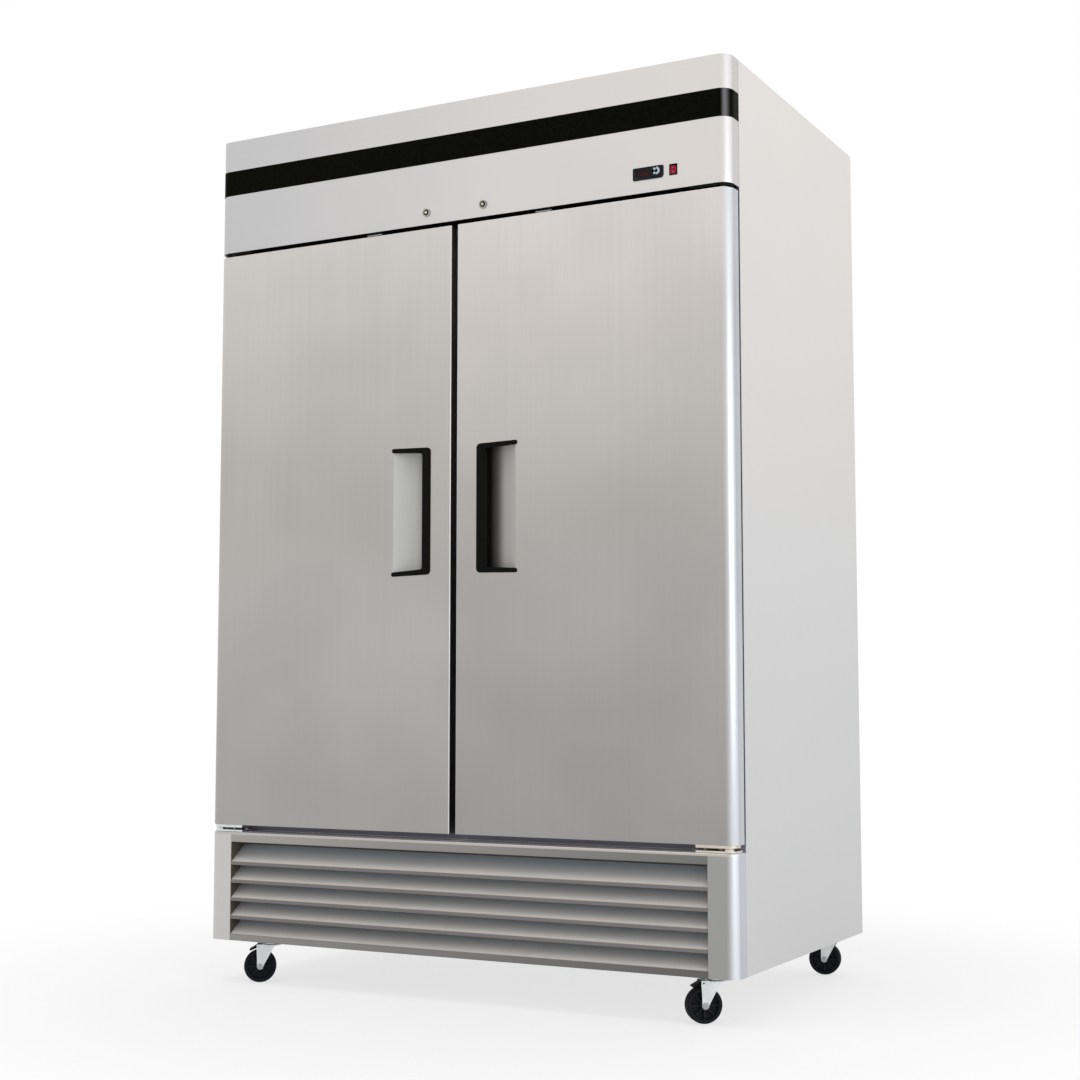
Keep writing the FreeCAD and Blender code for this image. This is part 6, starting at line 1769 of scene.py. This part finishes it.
@dataclass
class Caster:
    """One caster: swivelling fork with its bolt, ribbed wheel, and a brake pedal on the front ones."""

    name: str
    place: tuple[float, float]
    heading: float
    braked: bool
    trail: float = 28.0 * MM
    radius: float = 39.0 * MM
    half: float = 14.0 * MM
    leg: float = 19.0 * MM
    leg_end: float = 7.5 * MM
    crown: float = 88.4 * MM
    sheet: float = 2.8 * MM

    def placed(self, surface: Surface) -> Surface:
        """A surface drawn with the fork trailing along X, turned and moved to the caster's place."""
        offset = np.array([self.place[0], self.place[1], 0.0])
        return surface.mapped(lambda points: turned(points, self.heading) + offset)

    def wheel(self) -> Surface:
        """The wheel: hub, thin web, eight ribs on both faces and a crowned tread.

        The tread's radius is R - 0.6 mm (y / half)^2 between its rounded shoulders.
        """
        radius, half = self.radius / MM, self.half / MM
        around = 64
        shoulder = [(radius - 4.0 + 3.8 * math.sin(a), half - 4.0 + 4.0 * math.cos(a))
                    for a in np.radians([0, 25, 50, 75])]
        across = np.linspace(half - 4.0, 4.0 - half, 7)
        tread = [(radius - 0.6 * (y / half) ** 2, y) for y in across]
        right = [(5.1, 15.9), (10.2, 15.9), (11.0, 15.2), (11.4, 4.9), (12.0, 4.5), (29.0, 4.5), (29.8, 5.0),
                 (30.4, 12.6), (31.2, 13.6), (32.6, 14.0)] + shoulder
        left = [(r, -y) for r, y in reversed(right)]
        pairs = right + tread + left + right[:1]
        body = lathe(in_mm(pairs), (self.trail, 0.0, self.radius), "y", around)
        soft = range(len(right) - 4, len(right) + len(tread) + 3)
        body.finishes = np.repeat([int(row in soft) for row in range(len(pairs) - 1)], around).tolist()
        outline = rounded_loop((10.5 * MM, -1.5 * MM), (30.8 * MM, 1.5 * MM), 0.4 * MM, 2)
        ribs, depth = [], 10.6 * MM
        for number in range(8):
            angle = math.radians(45.0 * number)
            c, s = math.cos(angle), math.sin(angle)
            rib = outline @ np.array([[c, s], [-s, c]]) + np.array([self.trail, self.radius])
            ribs.append(prism(rib, -depth, depth, "y"))
        return body.plus(*ribs)

    def fork(self) -> Surface:
        """The fork: a pressed crown and two tapered legs with round ends, and the axle's head and nut."""
        top = self.crown + self.sheet
        lead, trail_side = self.trail + self.leg_end, self.trail - self.leg_end
        nose, fold = (37.0 * MM, 81.2 * MM) if self.braked else (lead, top - 6.0 * MM)
        low, back = self.radius - self.leg_end, -8.0 * MM
        corners = [(back, top), (trail_side, self.radius), (trail_side, low), (lead, low), (lead, 54.0 * MM),
                   (nose, fold), (nose, top)]
        outline = rounded_polygon(corners, in_mm([1.0, 0.3, 7.3, 7.3, 5.0, 3.0, 1.0]), steps=6)
        inner = self.leg - self.sheet
        legs = [prism(outline, -self.leg, -inner, "y"), prism(outline, inner, self.leg, "y")]
        crown = rounded_loop((back, -self.leg), (trail_side, self.leg), 2.0 * MM, 4)
        plate = loft([lying_flat(crown, self.crown), lying_flat(crown, top - 0.01 * MM)])
        bore, rim = 5.1 * MM, 23.0 * MM
        disc = lathe([(bore, self.crown), (bore, top), (21.4 * MM, top), (rim, top - 1.4 * MM),
                      (rim, self.crown), (bore, self.crown)], (0.0, 0.0, 0.0), "z", 48)
        return legs[0].plus(legs[1], plate, disc, self.bolt().finished(1))

    def bolt(self) -> Surface:
        """The axle bolt with its domed head and its nut."""
        end, shaft, centre = self.leg + 3.5 * MM, 5.0 * MM, (self.trail, 0.0, self.radius)
        shank = lathe([(0.0, -end), (shaft, -end), (7.0 * MM, -end + 0.7 * MM), (7.5 * MM, -end + 1.6 * MM),
                       (7.5 * MM, -self.leg), (shaft, -self.leg), (shaft, self.leg)], centre, "y", 32)
        turn = np.radians(np.arange(0.0, 360.0, 60.0) + 15.0)
        nut = np.stack([np.cos(turn), np.sin(turn)], axis=1) * 7.4 * MM + np.array([self.trail, self.radius])
        tip = lathe([(shaft, self.leg), (4.6 * MM, end - 0.3 * MM), (0.0, end)], centre, "y", 24)
        return shank.plus(prism(nut, self.leg, end - 0.9 * MM, "y"), tip)

    def pedal(self) -> Surface:
        """The brake pedal: a bent tread with a soft edge, on its pin between the fork's legs."""
        x, z = 32.0 * MM, 86.2 * MM
        corners = in_mm([(-3.5, -3.5), (3.5, -3.5), (22.0, -11.0), (22.0, -7.0), (3.5, 3.5), (-3.5, 3.5)])
        outline = rounded_polygon(corners + [x, z], in_mm([3.3, 8.0, 1.9, 1.9, 8.0, 3.3]), steps=5)
        tread = prism(outline, -12.0 * MM, 12.0 * MM, "y")
        pin, leg = 2.5 * MM, self.leg
        return tread.plus(lathe([(0.0, -leg), (pin, -leg), (pin, leg), (0.0, leg)], (x, 0.0, z), "y", 24))

    def build(self) -> None:
        """Makes the caster's moving pieces."""
        name = self.name
        make("fork_" + name, self.placed(self.fork()), [ZINC, BOLT_STEEL], "swivel_" + name,
             "caster_fork_" + name, bevel=0.4 * MM)
        make("wheel_tyre_" + name, self.placed(self.wheel()), [WHEEL_RUBBER, TREAD_RUBBER], "wheel_" + name,
             "caster_wheel_" + name)
        if self.braked:
            make("pedal_tread_" + name, self.placed(self.pedal()), [BLACK_PLASTIC], "pedal_" + name,
                 "brake_pedal_" + name, bevel=0.8 * MM)


@dataclass
class LowerHinges:
    """The two brackets on the grille's ledge, with their knuckles, pins and screws."""

    planes: Planes

    def right(self) -> Surface:
        """The right bracket's plate, knuckle, pin and two cross-head screws."""
        planes = self.planes
        z, face = planes.grille_high, planes.grille_high + 4.0 * MM
        plate = hinge_plate(planes, 47.0 * MM, (z, z + 3.4 * MM, face))
        split = (planes.grille_high + planes.door_low) / 2.0
        pin, pin_top = 5.0 * MM, planes.door_low + 22.0 * MM
        knuckle = lathe([(0.0, z), (11.0 * MM, z), (11.0 * MM, split - 0.5 * MM), (10.5 * MM, split),
                         (pin, split), (pin, pin_top - 1.0 * MM), (4.0 * MM, pin_top), (0.0, pin_top)],
                        (HINGE_X, planes.front + HINGE_DEPTH, 0.0), "z", 40)
        screws = [self.screw(x, planes.front + 37.0 * MM, face) for x in (606.0 * MM, 642.0 * MM)]
        return plate.plus(knuckle, *screws)

    def screw(self, x: float, y: float, z: float) -> Surface:
        """A pan head, r = 5 mm, with a dished middle."""
        pairs = [(5.0, 0.0), (5.0, 1.2), (4.6, 1.9), (3.6, 2.35), (1.9, 2.4), (1.2, 1.5), (0.0, 1.3)]
        return lathe(in_mm(pairs), (x, y, z), "z", 28)

    def build(self) -> None:
        """Makes both brackets as one piece."""
        right = self.right()
        make("lower_brackets", right.plus(right.mirrored().finished(1)), [HINGE_ZINC, ZINC],
             node="lower_hinges")


@dataclass
class Cabinet:
    """The nodes whose CAD shape is right: each keeps it, or a smooth-shaded copy, and gets its finish."""

    smooth_nodes: tuple[str, ...] = (
        "wire_shelves", "fan_motors", "condenser_fan", "evaporator_fan_left", "evaporator_fan_right",
        "compressor", "condenser", "evaporator_coil", "evaporator_cover", "upper_hinges", "door_switches",
        "power_inlet", "caster_plates", "shelf_supports")

    def build(self) -> None:
        """Dresses every node by its material slot."""
        slots = {part["node"]: part["material_slot"] for part in frame["record"]["subparts"]}
        for node, piece in frame["nodes"].items():
            finish = BY_NODE.get(node, BY_SLOT[slots[node]])
            if node in self.smooth_nodes:
                smoothed(node, finish)
            piece.data.materials.clear()
            piece.data.materials.append(finish.material())
        LOG.info("dressed %d CAD nodes", len(frame["nodes"]))


@dataclass
class Studio:
    """The pale floor, the soft lights, the white surroundings and the camera."""

    eye: tuple[float, float, float] = (2.06297, -3.8968, 0.69340)
    yaw: float = 27.86
    pitch: float = 5.062
    lens: float = 58.5
    ambient: float = 0.78
    lights: tuple[tuple[str, tuple[float, float, float], tuple[float, float], float, Colour], ...] = (
        ("right softbox", (4.6, -1.6, 1.5), (3.0, 2.8), 30.0, (0.95, 0.98, 1.0)),
        ("high softbox", (-1.2, -2.6, 7.0), (2.5, 2.5), 60.0, (1.0, 0.99, 0.97)))

    def world(self) -> None:
        """White for the camera, for reflections and through glass, and the plain light level otherwise."""
        world = bpy.data.worlds.new("studio")
        bpy.context.scene.world = world
        world.use_nodes = True
        w = Wiring(world.node_tree)
        strength = w.math("MULTIPLY_ADD", w.seen(), 1.0 - self.ambient, self.ambient)
        background = world.node_tree.nodes["Background"]
        background.inputs["Color"].default_value = (1.0, 1.0, 1.0, 1.0)
        w.feed(background.inputs["Strength"], strength)

    def floor(self) -> None:
        """A pale floor that turns to the plain white of the background away from the object."""
        made = bpy.data.materials.new("studio floor")
        made.use_nodes = True
        w = Wiring(made.node_tree)
        w.into("Base Color", (0.92, 0.92, 0.92, 1.0))
        w.into("Roughness", 0.9)
        place = w.node("ShaderNodeTexCoord").outputs["Object"]
        away = w.fed("ShaderNodeVectorMath", [(0, place)], operation="LENGTH")
        near, far, dim = 0.8, 2.0, 0.66
        white = w.math("MULTIPLY_ADD", w.between(away.outputs["Value"], near, far), 1.0 - dim, dim)
        glow = w.node("ShaderNodeEmission")
        sources = ((0, w.math("MULTIPLY", white, w.seen())), (1, w.shader.outputs["BSDF"]),
                   (2, glow.outputs["Emission"]))
        blend = w.fed("ShaderNodeMixShader", sources)
        w.feed(made.node_tree.nodes["Material Output"].inputs["Surface"], blend.outputs["Shader"])
        mesh = bpy.data.meshes.new("studio_floor")
        reach = 60.0
        corners = [(x * reach, y * reach, 0.0) for x, y in ((-1, -1), (1, -1), (1, 1), (-1, 1))]
        mesh.from_pydata(corners, [], [(0, 1, 2, 3)])
        mesh.materials.append(made)
        plane = in_scene("studio_floor", mesh)

    def lamps(self) -> None:
        """Large area lights that face the middle of the freezer."""
        for name, place, size, power, colour in self.lights:
            data = bpy.data.lights.new(name, "AREA")
            data.shape = "RECTANGLE"
            data.size, data.size_y = size
            data.energy = power
            data.color = colour
            lamp = in_scene(name, data)
            way = np.array([0.0, 0.0, 1.1]) - np.array(place)
            lamp.location = place
            pan = math.atan2(-way[0], way[1])
            lamp.rotation_euler = (math.pi / 2 + math.atan2(way[2], math.hypot(way[0], way[1])), 0.0, pan)

    def camera(self) -> None:
        """The camera at the photograph's place."""
        data = bpy.data.cameras.new("camera")
        data.sensor_width = 36.0
        data.lens = self.lens
        data.clip_end = 200.0
        camera = in_scene("camera", data)
        camera.location = self.eye
        camera.rotation_euler = (math.radians(90.0 + self.pitch), 0.0, math.radians(self.yaw))
        bpy.context.scene.camera = camera

    def build(self) -> None:
        """Sets the scene."""
        bpy.context.scene.view_settings.view_transform = "Standard"
        self.world()
        self.floor()
        self.lamps()
        self.camera()


def casters(planes: Planes) -> list[Caster]:
    """The four casters, at the places and headings of the CAD model."""
    left, right, rear_right = -548.0 * MM, 615.0 * MM, 635.0 * MM
    front, back = planes.front + 68.0 * MM, planes.back - 39.0 * MM
    return [Caster("front_left", (left, front), 215.0, True),
            Caster("front_right", (right, front), 218.0, True),
            Caster("rear_left", (left, back), 205.0, False),
            Caster("rear_right", (rear_right, back), 190.0, False)]


def main() -> None:
    """Builds every sub-assembly, then the studio."""
    logging.basicConfig(level=logging.INFO, format="%(name)s: %(message)s")
    planes = Planes.read()
    parts = [Cabinet(), Header(planes), Locks(planes), Controller(planes), RockerSwitch(planes),
             Door(Side.LEFT, planes), Door(Side.RIGHT, planes), Grille(planes), LowerHinges(planes),
             *casters(planes), Studio()]
    for part in parts:
        part.build()
        LOG.info("built %s", type(part).__name__)
    bpy.context.view_layer.update()


if __name__ == "__main__":
    main()
